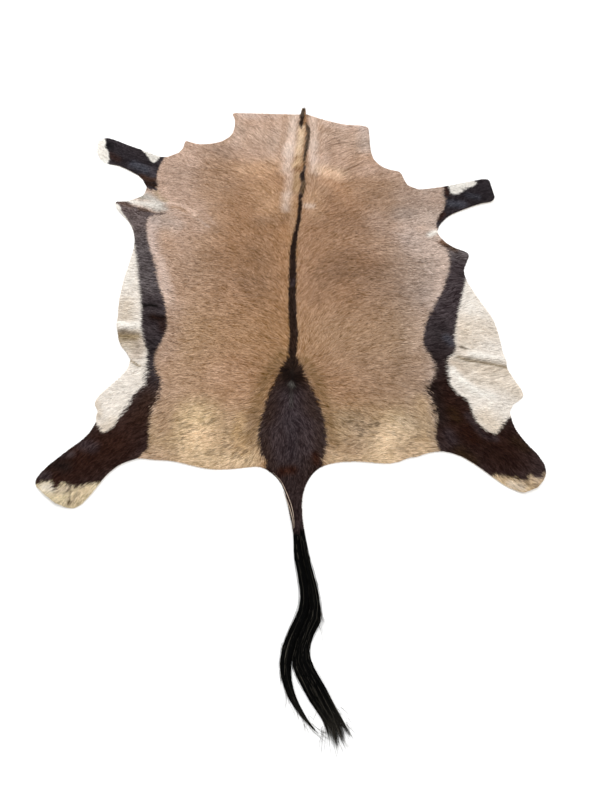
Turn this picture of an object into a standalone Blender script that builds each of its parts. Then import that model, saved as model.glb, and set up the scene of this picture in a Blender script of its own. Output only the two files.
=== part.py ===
"""Oryx hide rug: a whole hide, tanned with its hair on and laid flat, hair side up, with the long tail hair.

Metres, +Z up. The origin is on the floor under the middle of the spine, and the neck points along +Y.
The hide is a sheet whose outline is worked out from sections across its trunk, legs and tail. Folds lift the
whole sheet off the floor, and swells stand on its top side only. The tail hair is a fan of locks in layers.
"""

import math
import random
from collections import namedtuple

import bmesh
import bpy
import numpy as np
from mathutils import Vector
from mathutils.geometry import delaunay_2d_cdt

# The sheet
SKIN_THICKNESS = 0.004      # leather of about 2 mm with its short coat pressed flat on it
EDGE_STEP = 0.024           # spacing of points along the outline
GRID_STEP = 0.042           # spacing of points inside it
CURVE_STEPS = 4             # points read from the smooth edge between two sections
CORNER_TURN = math.radians(24)
NEAREST_POINTS = 0.010      # no two points lie closer than this
ROOM_BY_RIDGE = 0.45        # or, beside a narrow fold, than this share of its half width
ROOM_BY_GRID = 0.55         # and no grid point lies closer to another than this share of GRID_STEP
MERGE_DISTANCE = 0.00001
RIDGE_CURVE_STEPS = 6
SHORTEST_RIDGE_STEP = 0.018

# The tail hair
ROOT_GAP = 0.0003           # between the end of the tail skin and the head that holds the hair
HEAD_LENGTH = 0.028
HEAD_MARGIN = 0.002         # how far the head stands out past the hair on each side
HEAD_BEVEL = 0.003
SUNK_ROOT = 0.011           # how far each lock starts inside the head
LOCK_HEIGHT = 0.0045
LOCK_TOP = 0.6              # a lock's width at its top, as a share of its width on the floor
LAYER_GAP = 0.0008
LOCK_FILL = 0.80            # share of its place that a lock takes up, from side to side
LOCK_STEPS = 12
TAPER_FROM = 0.6            # a lock keeps its width down to this share of its length
TIP_WIDTH = 0.25            # and ends at this share of it
LOWEST_TOP = 0.4            # and of its height, at the least
LOCKS_IN_LAYER = (12, 10, 8)
LAYER_REACH = (1.0, 0.93, 0.84)
LOCK_UNEVENNESS = 0.12      # how much shorter a lock may be, as a share of the hair's length
TIP_WANDER = 0.3            # how far a tip strays sideways, as a share of the lock's half width
SEED = 5

# A section runs across a part from one edge of the hide to the other.
Section = namedtuple("Section", "left_x left_y right_x right_y")

# Neck cut first, rump last; left is -X
TRUNK = [
    Section(-0.240, 0.750, 0.055, 0.742),
    Section(-0.228, 0.710, 0.105, 0.718),
    Section(-0.230, 0.645, 0.185, 0.686),
    Section(-0.252, 0.600, 0.283, 0.669),
    Section(-0.286, 0.577, 0.293, 0.650),
    Section(-0.330, 0.567, 0.294, 0.570),
    Section(-0.374, 0.572, 0.298, 0.508),
    Section(-0.411, 0.590, 0.310, 0.474),
    Section(-0.415, 0.560, 0.328, 0.453),
    Section(-0.422, 0.538, 0.349, 0.434),
    Section(-0.438, 0.516, 0.395, 0.419),
    Section(-0.480, 0.490, 0.406, 0.390),
    Section(-0.505, 0.420, 0.420, 0.350),
    Section(-0.532, 0.340, 0.465, 0.320),
    Section(-0.541, 0.296, 0.490, 0.230),
    Section(-0.592, 0.267, 0.503, 0.124),
    Section(-0.633, 0.253, 0.511, 0.092),
    Section(-0.602, 0.206, 0.554, 0.050),
    Section(-0.569, 0.164, 0.590, 0.033),
    Section(-0.545, 0.100, 0.599, 0.012),
    Section(-0.543, 0.030, 0.574, -0.045),
    Section(-0.556, -0.080, 0.581, -0.100),
    Section(-0.560, -0.157, 0.611, -0.185),
    Section(-0.555, -0.234, 0.638, -0.252),
    Section(-0.546, -0.298, 0.649, -0.306),
    Section(-0.529, -0.347, 0.653, -0.375),
    Section(-0.488, -0.404, 0.658, -0.434),
    Section(-0.518, -0.464, 0.689, -0.506),
    Section(-0.552, -0.500, 0.687, -0.529),
    Section(-0.578, -0.543, 0.654, -0.553),
    Section(-0.562, -0.580, 0.632, -0.580),
    Section(-0.500, -0.660, 0.500, -0.660),
    Section(-0.426, -0.720, 0.338, -0.719),
    Section(-0.330, -0.731, 0.281, -0.738),
    Section(-0.212, -0.756, 0.157, -0.731),
    Section(-0.079, -0.745, 0.077, -0.748),
]

# Each limb starts inside the trunk and ends at its tip; left is its edge towards the neck on the legs
LEFT_FORELEG = [
    Section(-0.440, 0.500, -0.500, 0.330),
    Section(-0.484, 0.497, -0.532, 0.345),
    Section(-0.513, 0.505, -0.559, 0.393),
    Section(-0.567, 0.536, -0.609, 0.429),
    Section(-0.627, 0.563, -0.652, 0.455),
    Section(-0.702, 0.602, -0.695, 0.466),
    Section(-0.728, 0.599, -0.722, 0.487),
    Section(-0.743, 0.572, -0.740, 0.523),
]
RIGHT_FORELEG = [
    Section(0.420, 0.330, 0.480, 0.090),
    Section(0.468, 0.329, 0.503, 0.124),
    Section(0.504, 0.333, 0.512, 0.150),
    Section(0.556, 0.343, 0.534, 0.180),
    Section(0.598, 0.354, 0.568, 0.209),
    Section(0.662, 0.371, 0.663, 0.254),
    Section(0.711, 0.382, 0.711, 0.266),
    Section(0.722, 0.371, 0.727, 0.284),
]
LEFT_HINDLEG = [
    Section(-0.500, -0.480, -0.360, -0.700),
    Section(-0.563, -0.576, -0.426, -0.722),
    Section(-0.564, -0.612, -0.479, -0.743),
    Section(-0.587, -0.658, -0.512, -0.776),
    Section(-0.640, -0.708, -0.539, -0.821),
    Section(-0.686, -0.758, -0.566, -0.858),
    Section(-0.703, -0.797, -0.592, -0.869),
    Section(-0.676, -0.825, -0.634, -0.856),
]
RIGHT_HINDLEG = [
    Section(0.600, -0.500, 0.300, -0.690),
    Section(0.641, -0.576, 0.338, -0.721),
    Section(0.645, -0.623, 0.412, -0.701),
    Section(0.670, -0.674, 0.471, -0.712),
    Section(0.698, -0.712, 0.522, -0.745),
    Section(0.713, -0.750, 0.566, -0.784),
    Section(0.704, -0.783, 0.606, -0.813),
    Section(0.676, -0.812, 0.638, -0.826),
]
TAIL_SKIN = [
    Section(-0.085, -0.700, 0.090, -0.700),
    Section(-0.079, -0.745, 0.077, -0.750),
    Section(-0.040, -0.775, 0.053, -0.778),
    Section(-0.022, -0.801, 0.038, -0.813),
    Section(-0.011, -0.835, 0.032, -0.847),
    Section(-0.003, -0.875, 0.032, -0.887),
    Section(0.006, -0.915, 0.036, -0.920),
    Section(0.010, -0.945, 0.040, -0.945),
]
LIMBS = (LEFT_FORELEG, RIGHT_FORELEG, LEFT_HINDLEG, RIGHT_HINDLEG, TAIL_SKIN)

# A ridge runs through three places, each (x, y, share of the full height), and falls off to both sides.
Ridge = namedtuple("Ridge", "start middle end height half_width")

# Folds lift the sheet clear of the floor
FOLDS = {
    "left belly": Ridge((-0.560, -0.272, 1.0), (-0.505, -0.279, 0.9), (-0.440, -0.277, 0.0), 0.015, 0.025),
    "upper stripe": Ridge((-0.488, -0.204, 0.0), (-0.460, -0.207, 1.0), (-0.428, -0.212, 0.0), 0.005, 0.014),
    "lower stripe": Ridge((-0.432, -0.232, 0.0), (-0.412, -0.248, 1.0), (-0.385, -0.272, 0.0), 0.005, 0.014),
    "left notch": Ridge((-0.492, -0.404, 1.0), (-0.465, -0.425, 0.8), (-0.425, -0.462, 0.0), 0.010, 0.018),
    "right belly": Ridge((0.490, -0.382, 0.0), (0.560, -0.388, 1.0), (0.658, -0.410, 0.9), 0.016, 0.024),
    "lower right belly": Ridge((0.480, -0.425, 0.0), (0.530, -0.492, 1.0), (0.640, -0.524, 0.2), 0.010, 0.020),
    "right belly edge": Ridge((0.590, -0.120, 0.2), (0.634, -0.215, 1.0), (0.654, -0.315, 0.2), 0.010, 0.026),
    "left armpit": Ridge((-0.560, 0.262, 0.3), (-0.440, 0.235, 1.0), (-0.300, 0.165, 0.0), 0.012, 0.032),
    "left armpit flap": Ridge((-0.640, 0.255, 1.0), (-0.600, 0.225, 0.6), (-0.560, 0.190, 0.0), 0.012, 0.026),
    "right armpit": Ridge((0.540, 0.078, 0.2), (0.492, 0.108, 1.0), (0.425, 0.150, 0.0), 0.008, 0.022),
    "left foreleg": Ridge((-0.745, 0.562, 1.0), (-0.660, 0.525, 0.8), (-0.540, 0.450, 0.0), 0.010, 0.060),
    "right foreleg": Ridge((0.735, 0.320, 0.8), (0.640, 0.305, 1.0), (0.520, 0.250, 0.0), 0.008, 0.060),
    "left hind leg": Ridge((-0.660, -0.850, 1.0), (-0.600, -0.770, 0.7), (-0.520, -0.680, 0.0), 0.009, 0.060),
    "right hind leg": Ridge((0.670, -0.825, 1.0), (0.620, -0.750, 0.8), (0.520, -0.670, 0.0), 0.009, 0.060),
}

# Swells thicken the sheet upwards: the standing hair of the mane, and the tail's skin rolled round
SWELLS = {
    "mane": Ridge((0.035, 0.760, 0.7), (0.052, 0.560, 1.0), (0.026, 0.240, 0.0), 0.013, 0.030),
    "tail root": Ridge((0.000, -0.690, 0.0), (0.005, -0.760, 0.6), (0.010, -0.850, 1.0), 0.008, 0.034),
    "tail": Ridge((0.010, -0.851, 1.0), (0.018, -0.900, 1.0), (0.025, -0.950, 1.0), 0.008, 0.024),
}

# Rows of mesh points laid along a fold or swell, as shares of its half width
RIDGE_ROWS = (-1.0, -0.5, 0.0, 0.5, 1.0)

# The tail hair from its root to its tip: its two sides, and the parting between its two bundles
Fan = namedtuple("Fan", "y left parting_left parting_right right")
TAIL_HAIR = [
    Fan(-0.946, 0.0110, 0.0250, 0.0250, 0.0390),
    Fan(-1.000, 0.0120, 0.0320, 0.0320, 0.0520),
    Fan(-1.035, 0.0190, 0.0410, 0.0410, 0.0630),
    Fan(-1.097, 0.0290, 0.0520, 0.0525, 0.0760),
    Fan(-1.133, 0.0220, 0.0500, 0.0510, 0.0800),
    Fan(-1.165, 0.0050, 0.0360, 0.0375, 0.0730),
    Fan(-1.205, -0.0150, 0.0160, 0.0185, 0.0550),
    Fan(-1.245, -0.0230, 0.0070, 0.0110, 0.0490),
    Fan(-1.279, -0.0190, 0.0080, 0.0150, 0.0690),
    Fan(-1.308, -0.0100, 0.0170, 0.0300, 0.0880),
    Fan(-1.336, 0.0070, 0.0330, 0.0530, 0.1030),
    Fan(-1.361, 0.0220, 0.0480, 0.0710, 0.1190),
    Fan(-1.390, 0.0500, 0.0660, 0.0860, 0.1380),
    Fan(-1.436, 0.0880, 0.0980, 0.1060, 0.1600),
]


def clear_scene():
    """Removes every object that the scene starts with."""
    for thing in list(bpy.data.objects):
        bpy.data.objects.remove(thing, do_unlink=True)


def make_material(name, colour, roughness):
    """A plain Principled material."""
    material = bpy.data.materials.new(name)
    material.use_nodes = True
    surface = material.node_tree.nodes["Principled BSDF"]
    surface.inputs["Base Color"].default_value = (*colour, 1.0)
    surface.inputs["Roughness"].default_value = roughness
    surface.inputs["Metallic"].default_value = 0.0
    return material


def add_object(name, mesh_maker, material):
    """Puts a bmesh into the scene as one named object."""
    mesh = bpy.data.meshes.new(name)
    mesh_maker.to_mesh(mesh)
    mesh_maker.free()
    mesh.materials.append(material)
    thing = bpy.data.objects.new(name, mesh)
    bpy.context.scene.collection.objects.link(thing)
    return thing


def smooth_curve(points, steps):
    """A Catmull-Rom curve through the points, as an array, with so many steps between each two of them."""
    known = np.array(points, dtype=float)
    ends = np.vstack([2 * known[0] - known[1], known, 2 * known[-1] - known[-2]])
    share = np.arange(steps)[:, None] / steps
    runs = []
    for before, first, second, after in zip(ends, ends[1:], ends[2:], ends[3:]):
        run = first + 0.5 * share * (second - before)
        run = run + share ** 2 * (before - 2.5 * first + 2 * second - 0.5 * after)
        run = run + share ** 3 * (1.5 * first - 0.5 * before - 1.5 * second + 0.5 * after)
        runs.append(run)
    return np.vstack(runs + [known[-1:]])


def strip_outline(sections):
    """The closed outline of one part, anticlockwise, through the left and right ends of its sections."""
    left = smooth_curve([(s.left_x, s.left_y) for s in sections], CURVE_STEPS)
    right = smooth_curve([(s.right_x, s.right_y) for s in sections], CURVE_STEPS)
    outline = np.vstack([left, right[::-1]])
    x, y = outline.T
    twice_area = np.sum(x * np.roll(y, -1) - np.roll(x, -1) * y)
    return outline if twice_area > 0 else outline[::-1]


def triangulate(loops, free_points):
    """Triangles that fill the loops, using the free points too, as (points, triangles)."""
    points = [Vector(p) for loop in loops for p in loop] + [Vector(p) for p in free_points]
    faces = []
    first = 0
    for loop in loops:
        faces.append(list(range(first, first + len(loop))))
        first += len(loop)
    filled = delaunay_2d_cdt(points, [], faces, 0, MERGE_DISTANCE, True)
    placed, triangles, loops_around = filled[0], filled[2], filled[5]
    kept = [tuple(face) for face, around in zip(triangles, loops_around) if around]
    return np.array([tuple(p) for p in placed]), kept


def boundary_loop(triangles):
    """The point numbers along the border of a set of triangles, in order."""
    following = {}
    for face in triangles:
        for start, end in zip(face, face[1:] + face[:1]):
            following[(start, end)] = True
    border = {start: end for start, end in following if (end, start) not in following}
    first = min(border)
    loop = [first]
    while border[loop[-1]] != first:
        loop.append(border[loop[-1]])
    assert len(loop) == len(border), "the parts of the hide don't make one outline"
    return loop


def even_steps(outline):
    """Thins an outline to a point about every EDGE_STEP, and keeps its corners."""
    kept = [outline[0]]
    heading = None
    for before, point, after in zip(outline, outline[1:], np.roll(outline, -2, axis=0)):
        way_in = math.atan2(*(point - before)[::-1])
        way_out = math.atan2(*(after - point)[::-1])
        heading = way_in if heading is None else heading
        turned = abs(math.remainder(way_out - heading, math.tau))
        run = np.linalg.norm(point - kept[-1])
        room_left = np.linalg.norm(point - outline[0]) > NEAREST_POINTS
        wanted = run >= EDGE_STEP or (turned > CORNER_TURN and run > NEAREST_POINTS)
        if wanted and room_left:
            kept.append(point)
            heading = way_out
    return np.array(kept)


def distance_to_path(points, path):
    """For each point its distance to a path, and how far along the path that is, from 0 to 1."""
    best = np.full(len(points), np.inf)
    along = np.zeros(len(points))
    lengths = np.linalg.norm(np.diff(path, axis=0), axis=1)
    reached = np.concatenate([[0.0], np.cumsum(lengths)])
    for start, end, before, length in zip(path, path[1:], reached, lengths):
        way = (end - start) / length
        run = np.clip((points - start) @ way, 0.0, length)
        gap = np.linalg.norm(points - start - run[:, None] * way, axis=1)
        nearer = gap < best
        best[nearer] = gap[nearer]
        along[nearer] = (before + run[nearer]) / reached[-1]
    return best, along


def ridge_path(ridge):
    """The smooth line along a ridge's top, with its share of the full height as a third column."""
    return smooth_curve([ridge.start, ridge.middle, ridge.end], RIDGE_CURVE_STEPS)


def ridge_height(points, ridge):
    """How high a ridge stands at each point."""
    path = ridge_path(ridge)
    gap, along = distance_to_path(points, path[:, :2])
    lengths = np.linalg.norm(np.diff(path[:, :2], axis=0), axis=1)
    reached = np.concatenate([[0.0], np.cumsum(lengths)]) / lengths.sum()
    share = np.clip(np.interp(along, reached, path[:, 2]), 0.0, 1.0)
    across = np.clip(gap / ridge.half_width, 0.0, 1.0)
    return ridge.height * share * 0.5 * (1.0 + np.cos(math.pi * across))


def ridge_points(ridge):
    """Rows of points along a ridge, so that the mesh follows its top, its flanks and its feet."""
    path = ridge_path(ridge)[:, :2]
    spacing = max(ridge.half_width, SHORTEST_RIDGE_STEP)
    lengths = np.linalg.norm(np.diff(path, axis=0), axis=1)
    reached = np.concatenate([[0.0], np.cumsum(lengths)])
    count = max(3, round(reached[-1] / spacing) + 1)
    stations = np.linspace(0.0, reached[-1], count)
    line = np.column_stack([np.interp(stations, reached, path[:, axis]) for axis in (0, 1)])
    way = np.gradient(line, axis=0)
    way = way / np.linalg.norm(way, axis=1)[:, None]
    sideways = np.column_stack([-way[:, 1], way[:, 0]])
    return np.vstack([line + row * ridge.half_width * sideways for row in RIDGE_ROWS])


def inside(points, outline):
    """Which of the points lie inside the outline."""
    x, y = points[:, 0, None], points[:, 1, None]
    x0, y0 = outline[:, 0], outline[:, 1]
    x1, y1 = np.roll(outline, -1, axis=0).T
    crosses = (y0 > y) != (y1 > y)
    steepness = np.where(y1 == y0, 1.0, y1 - y0)
    at = x0 + (y - y0) / steepness * (x1 - x0)
    return (crosses & (x < at)).sum(axis=1) % 2 == 1


def grid_points(reach):
    """A grid of even triangles out to a distance from the origin, which lies inside one of them."""
    row_step = GRID_STEP * math.sqrt(3) / 2
    rows = math.ceil(reach / row_step)
    columns = math.ceil(reach / GRID_STEP)
    grid = []
    for row in range(-rows, rows + 1):
        shift = 0.5 * (row % 2 + 1)
        for column in range(-columns, columns + 1):
            grid.append(np.array([(column + shift) * GRID_STEP, (row + 1 / 3) * row_step]))
    return grid


def filling_points(outline):
    """The points inside the outline: rows along the ridges, and an even grid everywhere else."""
    edge_middles = (outline + np.roll(outline, -1, axis=0)) / 2
    chosen = np.vstack([outline, edge_middles])
    border = len(chosen)
    wanted = []
    for ridge in list(FOLDS.values()) + list(SWELLS.values()):
        room = min(ROOM_BY_RIDGE * ridge.half_width, NEAREST_POINTS)
        wanted += [(point, room) for point in ridge_points(ridge)]
    wanted += [(point, ROOM_BY_GRID * GRID_STEP) for point in grid_points(np.abs(outline).max())]
    for point, room in wanted:
        if np.linalg.norm(chosen - point, axis=1).min() > room:
            chosen = np.vstack([chosen, point])
    free = chosen[border:]
    return free[inside(free, outline)]


def make_hide(material):
    """The skin: the parts' outlines joined into one, filled with triangles, and raised by its folds."""
    strips = [strip_outline(sections) for sections in (TRUNK,) + LIMBS]
    points, triangles = triangulate(strips, [])
    outline = even_steps(points[boundary_loop(triangles)])
    points, triangles = triangulate([outline], filling_points(outline))
    lift = np.max([ridge_height(points, fold) for fold in FOLDS.values()], axis=0)
    swell = np.max([ridge_height(points, rise) for rise in SWELLS.values()], axis=0)
    skin = bmesh.new()
    lower = [skin.verts.new((x, y, z)) for (x, y), z in zip(points, lift)]
    upper = [skin.verts.new((x, y, z + SKIN_THICKNESS)) for (x, y), z in zip(points, lift + swell)]
    for a, b, c in triangles:
        skin.faces.new((upper[a], upper[b], upper[c]))
        skin.faces.new((lower[c], lower[b], lower[a]))
    border = boundary_loop(triangles)
    for a, b in zip(border, border[1:] + border[:1]):
        skin.faces.new((lower[a], lower[b], upper[b], upper[a]))
    bmesh.ops.recalc_face_normals(skin, faces=skin.faces)
    return add_object("hide", skin, material)


def fan_at(y):
    """The tail hair's sides and parting at one distance down the tail."""
    rows = TAIL_HAIR[::-1]
    heights = [row.y for row in rows]
    return Fan(y, *(np.interp(y, heights, [row[column] for row in rows]) for column in range(1, 5)))


def lock_rings(place, layer, reach, wander):
    """The four-cornered rings of one lock, whose place is 0 at the hair's left side and 1 at its right."""
    root = TAIL_HAIR[0].y - HEAD_LENGTH + SUNK_ROOT
    tip = TAIL_HAIR[0].y + reach * (TAIL_HAIR[-1].y - TAIL_HAIR[0].y)
    floor_height = layer * (LOCK_HEIGHT + LAYER_GAP)
    width_share = LOCK_FILL / LOCKS_IN_LAYER[layer]
    rings = []
    for step in range(LOCK_STEPS):
        share = step / (LOCK_STEPS - 1)
        fan = fan_at(root + share * (tip - root))
        left_bundle = place < 0.5
        near, far = (fan.left, fan.parting_left) if left_bundle else (fan.parting_right, fan.right)
        within = 2 * place if left_bundle else 2 * place - 1
        taper = 1.0 - (1.0 - TIP_WIDTH) * max(0.0, share - TAPER_FROM) / (1.0 - TAPER_FROM)
        half = (far - near) * width_share * taper
        centre = near + within * (far - near) + wander * half * (1.0 - taper)
        top = floor_height + LOCK_HEIGHT * (LOWEST_TOP + (1.0 - LOWEST_TOP) * taper)
        low = [(centre - half, fan.y, floor_height), (centre + half, fan.y, floor_height)]
        high = [(centre + LOCK_TOP * half, fan.y, top), (centre - LOCK_TOP * half, fan.y, top)]
        rings.append(low + high)
    return rings


def add_lock(hair, rings):
    """Joins a lock's rings into a closed tapering rod."""
    loops = [[hair.verts.new(corner) for corner in ring] for ring in rings]
    for near, far in zip(loops, loops[1:]):
        for side in range(4):
            after = (side + 1) % 4
            hair.faces.new((near[side], near[after], far[after], far[side]))
    hair.faces.new(loops[0][::-1])
    hair.faces.new(loops[-1])


def make_locks():
    """Every lock of the tail hair, layer on layer, each layer a little shorter than the one below it."""
    rng = random.Random(SEED)
    hair = bmesh.new()
    for layer, (count, longest) in enumerate(zip(LOCKS_IN_LAYER, LAYER_REACH)):
        for number in range(count):
            place = (number + 0.5) / count
            reach = longest * (1.0 - LOCK_UNEVENNESS * rng.random())
            add_lock(hair, lock_rings(place, layer, reach, rng.uniform(-TIP_WANDER, TIP_WANDER)))
    bmesh.ops.recalc_face_normals(hair, faces=hair.faces)
    return hair


def make_tail_tuft(material):
    """The long tail hair: its locks, fused at their roots into a rounded head at the end of the tail skin."""
    last = TAIL_SKIN[-1]
    near = fan_at(TAIL_HAIR[0].y)
    height = len(LOCKS_IN_LAYER) * (LOCK_HEIGHT + LAYER_GAP)
    start = last.left_y - ROOT_GAP
    head = bmesh.new()
    bmesh.ops.create_cube(head, size=1.0)
    width = near.right - near.left + 2 * HEAD_MARGIN
    bmesh.ops.scale(head, vec=(width, HEAD_LENGTH, height), verts=head.verts)
    middle = ((near.left + near.right) / 2, start - HEAD_LENGTH / 2, height / 2)
    bmesh.ops.translate(head, vec=middle, verts=head.verts)
    upright = [e for e in head.edges if e.verts[0].co.z + e.verts[1].co.z > height]
    rounding = {"offset": HEAD_BEVEL, "segments": 2, "profile": 0.5, "affect": "EDGES", "material": -1}
    bmesh.ops.bevel(head, geom=upright, **rounding)
    tuft = add_object("tail_tuft", head, material)
    locks = add_object("tail_locks", make_locks(), material)
    locks.hide_render = True
    locks.display_type = "WIRE"
    joining = tuft.modifiers.new("locks on the head", "BOOLEAN")
    joining.operation = "UNION"
    joining.object = locks
    return tuft


def build():
    """The whole object."""
    clear_scene()
    coat = make_material("hide coat", (0.46, 0.33, 0.24), 0.75)
    tail_hair = make_material("tail hair", (0.02, 0.017, 0.016), 0.5)
    make_hide(coat)
    make_tail_tuft(tail_hair)


build()
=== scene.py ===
# %% [markdown]
# # An oryx hide rug
# The real thing is one whole skin, tanned with its hair on and laid flat, hair side up. It has four short leg
# skins, a strip of standing mane on the neck, and the tail with its long black hair. Nothing is sewn to it.
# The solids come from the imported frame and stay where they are. This script dresses them: a thin leather
# sheet on the same folds, a coat of lying hair in the animal's colours, the mane, and the tail hair.

# %% The frame
import math
from collections import namedtuple

import bmesh
import bpy
import numpy as np
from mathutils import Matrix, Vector
from mathutils.bvhtree import BVHTree
from mathutils.geometry import delaunay_2d_cdt


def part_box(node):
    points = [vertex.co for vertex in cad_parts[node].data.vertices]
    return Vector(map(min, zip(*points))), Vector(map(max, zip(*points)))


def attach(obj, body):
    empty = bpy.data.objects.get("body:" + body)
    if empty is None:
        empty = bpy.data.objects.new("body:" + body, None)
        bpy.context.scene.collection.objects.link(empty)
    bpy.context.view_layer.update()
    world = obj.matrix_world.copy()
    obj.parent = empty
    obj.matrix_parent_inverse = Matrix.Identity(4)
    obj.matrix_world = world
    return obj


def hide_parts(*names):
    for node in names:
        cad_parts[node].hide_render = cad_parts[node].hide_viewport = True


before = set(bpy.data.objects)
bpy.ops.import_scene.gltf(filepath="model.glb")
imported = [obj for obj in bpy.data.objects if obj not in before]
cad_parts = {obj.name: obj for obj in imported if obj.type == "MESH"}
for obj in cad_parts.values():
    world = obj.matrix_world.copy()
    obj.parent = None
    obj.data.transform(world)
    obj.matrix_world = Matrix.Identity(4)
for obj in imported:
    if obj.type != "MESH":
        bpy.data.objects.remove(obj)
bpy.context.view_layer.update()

hide_low, hide_high = (np.array(corner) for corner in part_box("hide"))
tail_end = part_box("tail_tuft")[0][1]
print("hide from", hide_low.round(3), "to", hide_high.round(3), "and tail hair down to y", round(tail_end, 3))

# %% [markdown]
# ## Camera and light
# A rug is photographed from a standing person's height, looking down at it. The steepness is read from how
# much the far end shrinks. The light is a wide soft one, as under a bright ceiling, so the floor is nearly
# white and the shadows are faint.

# %% Camera
CAMERA_PLACE = (0.027, -1.371, 1.570)
CAMERA_DOWN = math.radians(62)
CAMERA_LENS = 27.0

camera = bpy.data.objects.new("camera", bpy.data.cameras.new("camera"))
camera.location = CAMERA_PLACE
camera.rotation_euler = (math.pi / 2 - CAMERA_DOWN, 0.0, 0.0)
camera.data.lens = CAMERA_LENS
bpy.context.scene.collection.objects.link(camera)
bpy.context.scene.camera = camera
print("camera looks down at", round(math.degrees(CAMERA_DOWN)), "degrees")

# %% Light
SKY_STRENGTH = 0.62
LAMPS = {
    "window": dict(place=(-1.4, 2.2, 2.6), size=2.2, power=62.0),
    "ceiling": dict(place=(0.6, -0.6, 3.2), size=3.0, power=70.0),
}

bpy.context.scene.view_settings.view_transform = "Standard"
sky = bpy.data.worlds.new("soft room")
bpy.context.scene.world = sky
sky.use_nodes = True
sky.node_tree.nodes["Background"].inputs["Color"].default_value = (1.0, 1.0, 1.0, 1.0)
sky.node_tree.nodes["Background"].inputs["Strength"].default_value = SKY_STRENGTH
for name, facts in LAMPS.items():
    lamp = bpy.data.objects.new(name, bpy.data.lights.new(name, "AREA"))
    lamp.data.size = facts["size"]
    lamp.data.energy = facts["power"]
    lamp.location = facts["place"]
    lamp.rotation_euler = (-Vector(facts["place"])).to_track_quat("-Z", "Y").to_euler()
    bpy.context.scene.collection.objects.link(lamp)
print("lamps:", ", ".join(LAMPS))

# %% [markdown]
# ## Curves and places
# The hide's colours and folds lie along smooth lines. Each line is a few given places, in metres, with
# a smooth curve through them. Two measures then do all the work: how far a point lies inside a closed
# outline, and how far it lies from a line.

# %% Smooth curves
def smooth_curve(places, step, closed=False):
    """A smooth curve through the places, as an array with a point about every step."""
    known = np.array(places, dtype=float)
    if closed:
        ring = np.vstack([known[-1:], known, known[:2]])
    else:
        ring = np.vstack([2 * known[0] - known[1], known, 2 * known[-1] - known[-2]])
    runs = []
    for before, first, second, after in zip(ring, ring[1:], ring[2:], ring[3:]):
        count = max(1, round(np.linalg.norm((second - first)[:2]) / step))
        share = np.arange(count)[:, None] / count
        run = first + 0.5 * share * (second - before)
        run = run + share ** 2 * (before - 2.5 * first + 2 * second - 0.5 * after)
        run = run + share ** 3 * (1.5 * first - 0.5 * before - 1.5 * second + 0.5 * after)
        runs.append(run)
    return np.vstack(runs if closed else runs + [known[-1:]])


def inward(points, outline):
    """How far inside a closed outline each point lies, in metres. It is negative outside."""
    x, y = points.T
    nearest = np.full(len(points), np.inf)
    inside = np.zeros(len(points), dtype=bool)
    for (x0, y0), (x1, y1) in zip(outline, np.roll(outline, -1, axis=0)):
        run_x, run_y = x1 - x0, y1 - y0
        share = ((x - x0) * run_x + (y - y0) * run_y) / max(run_x ** 2 + run_y ** 2, 1e-12)
        share = np.clip(share, 0.0, 1.0)
        nearest = np.minimum(nearest, (x - x0 - share * run_x) ** 2 + (y - y0 - share * run_y) ** 2)
        if y0 != y1:
            inside ^= ((y0 > y) != (y1 > y)) & (x < x0 + (y - y0) * run_x / run_y)
    return np.where(inside, 1.0, -1.0) * np.sqrt(nearest)


def near_line(points, line):
    """Each point's distance from a line, and the line's other columns at the nearest place on it."""
    best = np.full(len(points), np.inf)
    found = np.zeros((len(points), line.shape[1] - 2))
    for start, end in zip(line, line[1:]):
        way = (end - start)[:2]
        share = np.clip((points - start[:2]) @ way / max(way @ way, 1e-12), 0.0, 1.0)
        gap = np.hypot(*(points - start[:2] - share[:, None] * way).T)
        nearer = gap < best
        best[nearer] = gap[nearer]
        found[nearer] = start[2:] + share[nearer, None] * (end - start)[2:]
    return best, found


def blend_places(points, places, reach, values):
    """The values of hand-set places, blended smoothly: each counts for more the nearer it is."""
    blended = []
    for some in np.array_split(points, max(1, len(points) // 50_000)):
        gaps = ((some[:, None, :] - places[None, :, :]) ** 2).sum(axis=2) / reach ** 2
        weights = np.exp(gaps.min(axis=1, keepdims=True) - gaps)
        blended.append(weights @ values / weights.sum(axis=1, keepdims=True))
    return np.vstack(blended)


def smooth_step(low, high, values):
    """0 below low, 1 above high, and smooth between."""
    share = np.clip((values - low) / (high - low), 0.0, 1.0)
    return share * share * (3.0 - 2.0 * share)


# %% [markdown]
# ## Plans
# A plan is a level grid of numbers over the hide, like a map on squared paper. Heights, the way the hair
# grows and its small unevenness are worked out once for each square and then read between the squares, which
# is quick for a quarter of a million hairs.

# %% Plans
PLAN_MARGIN = 0.045


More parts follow.
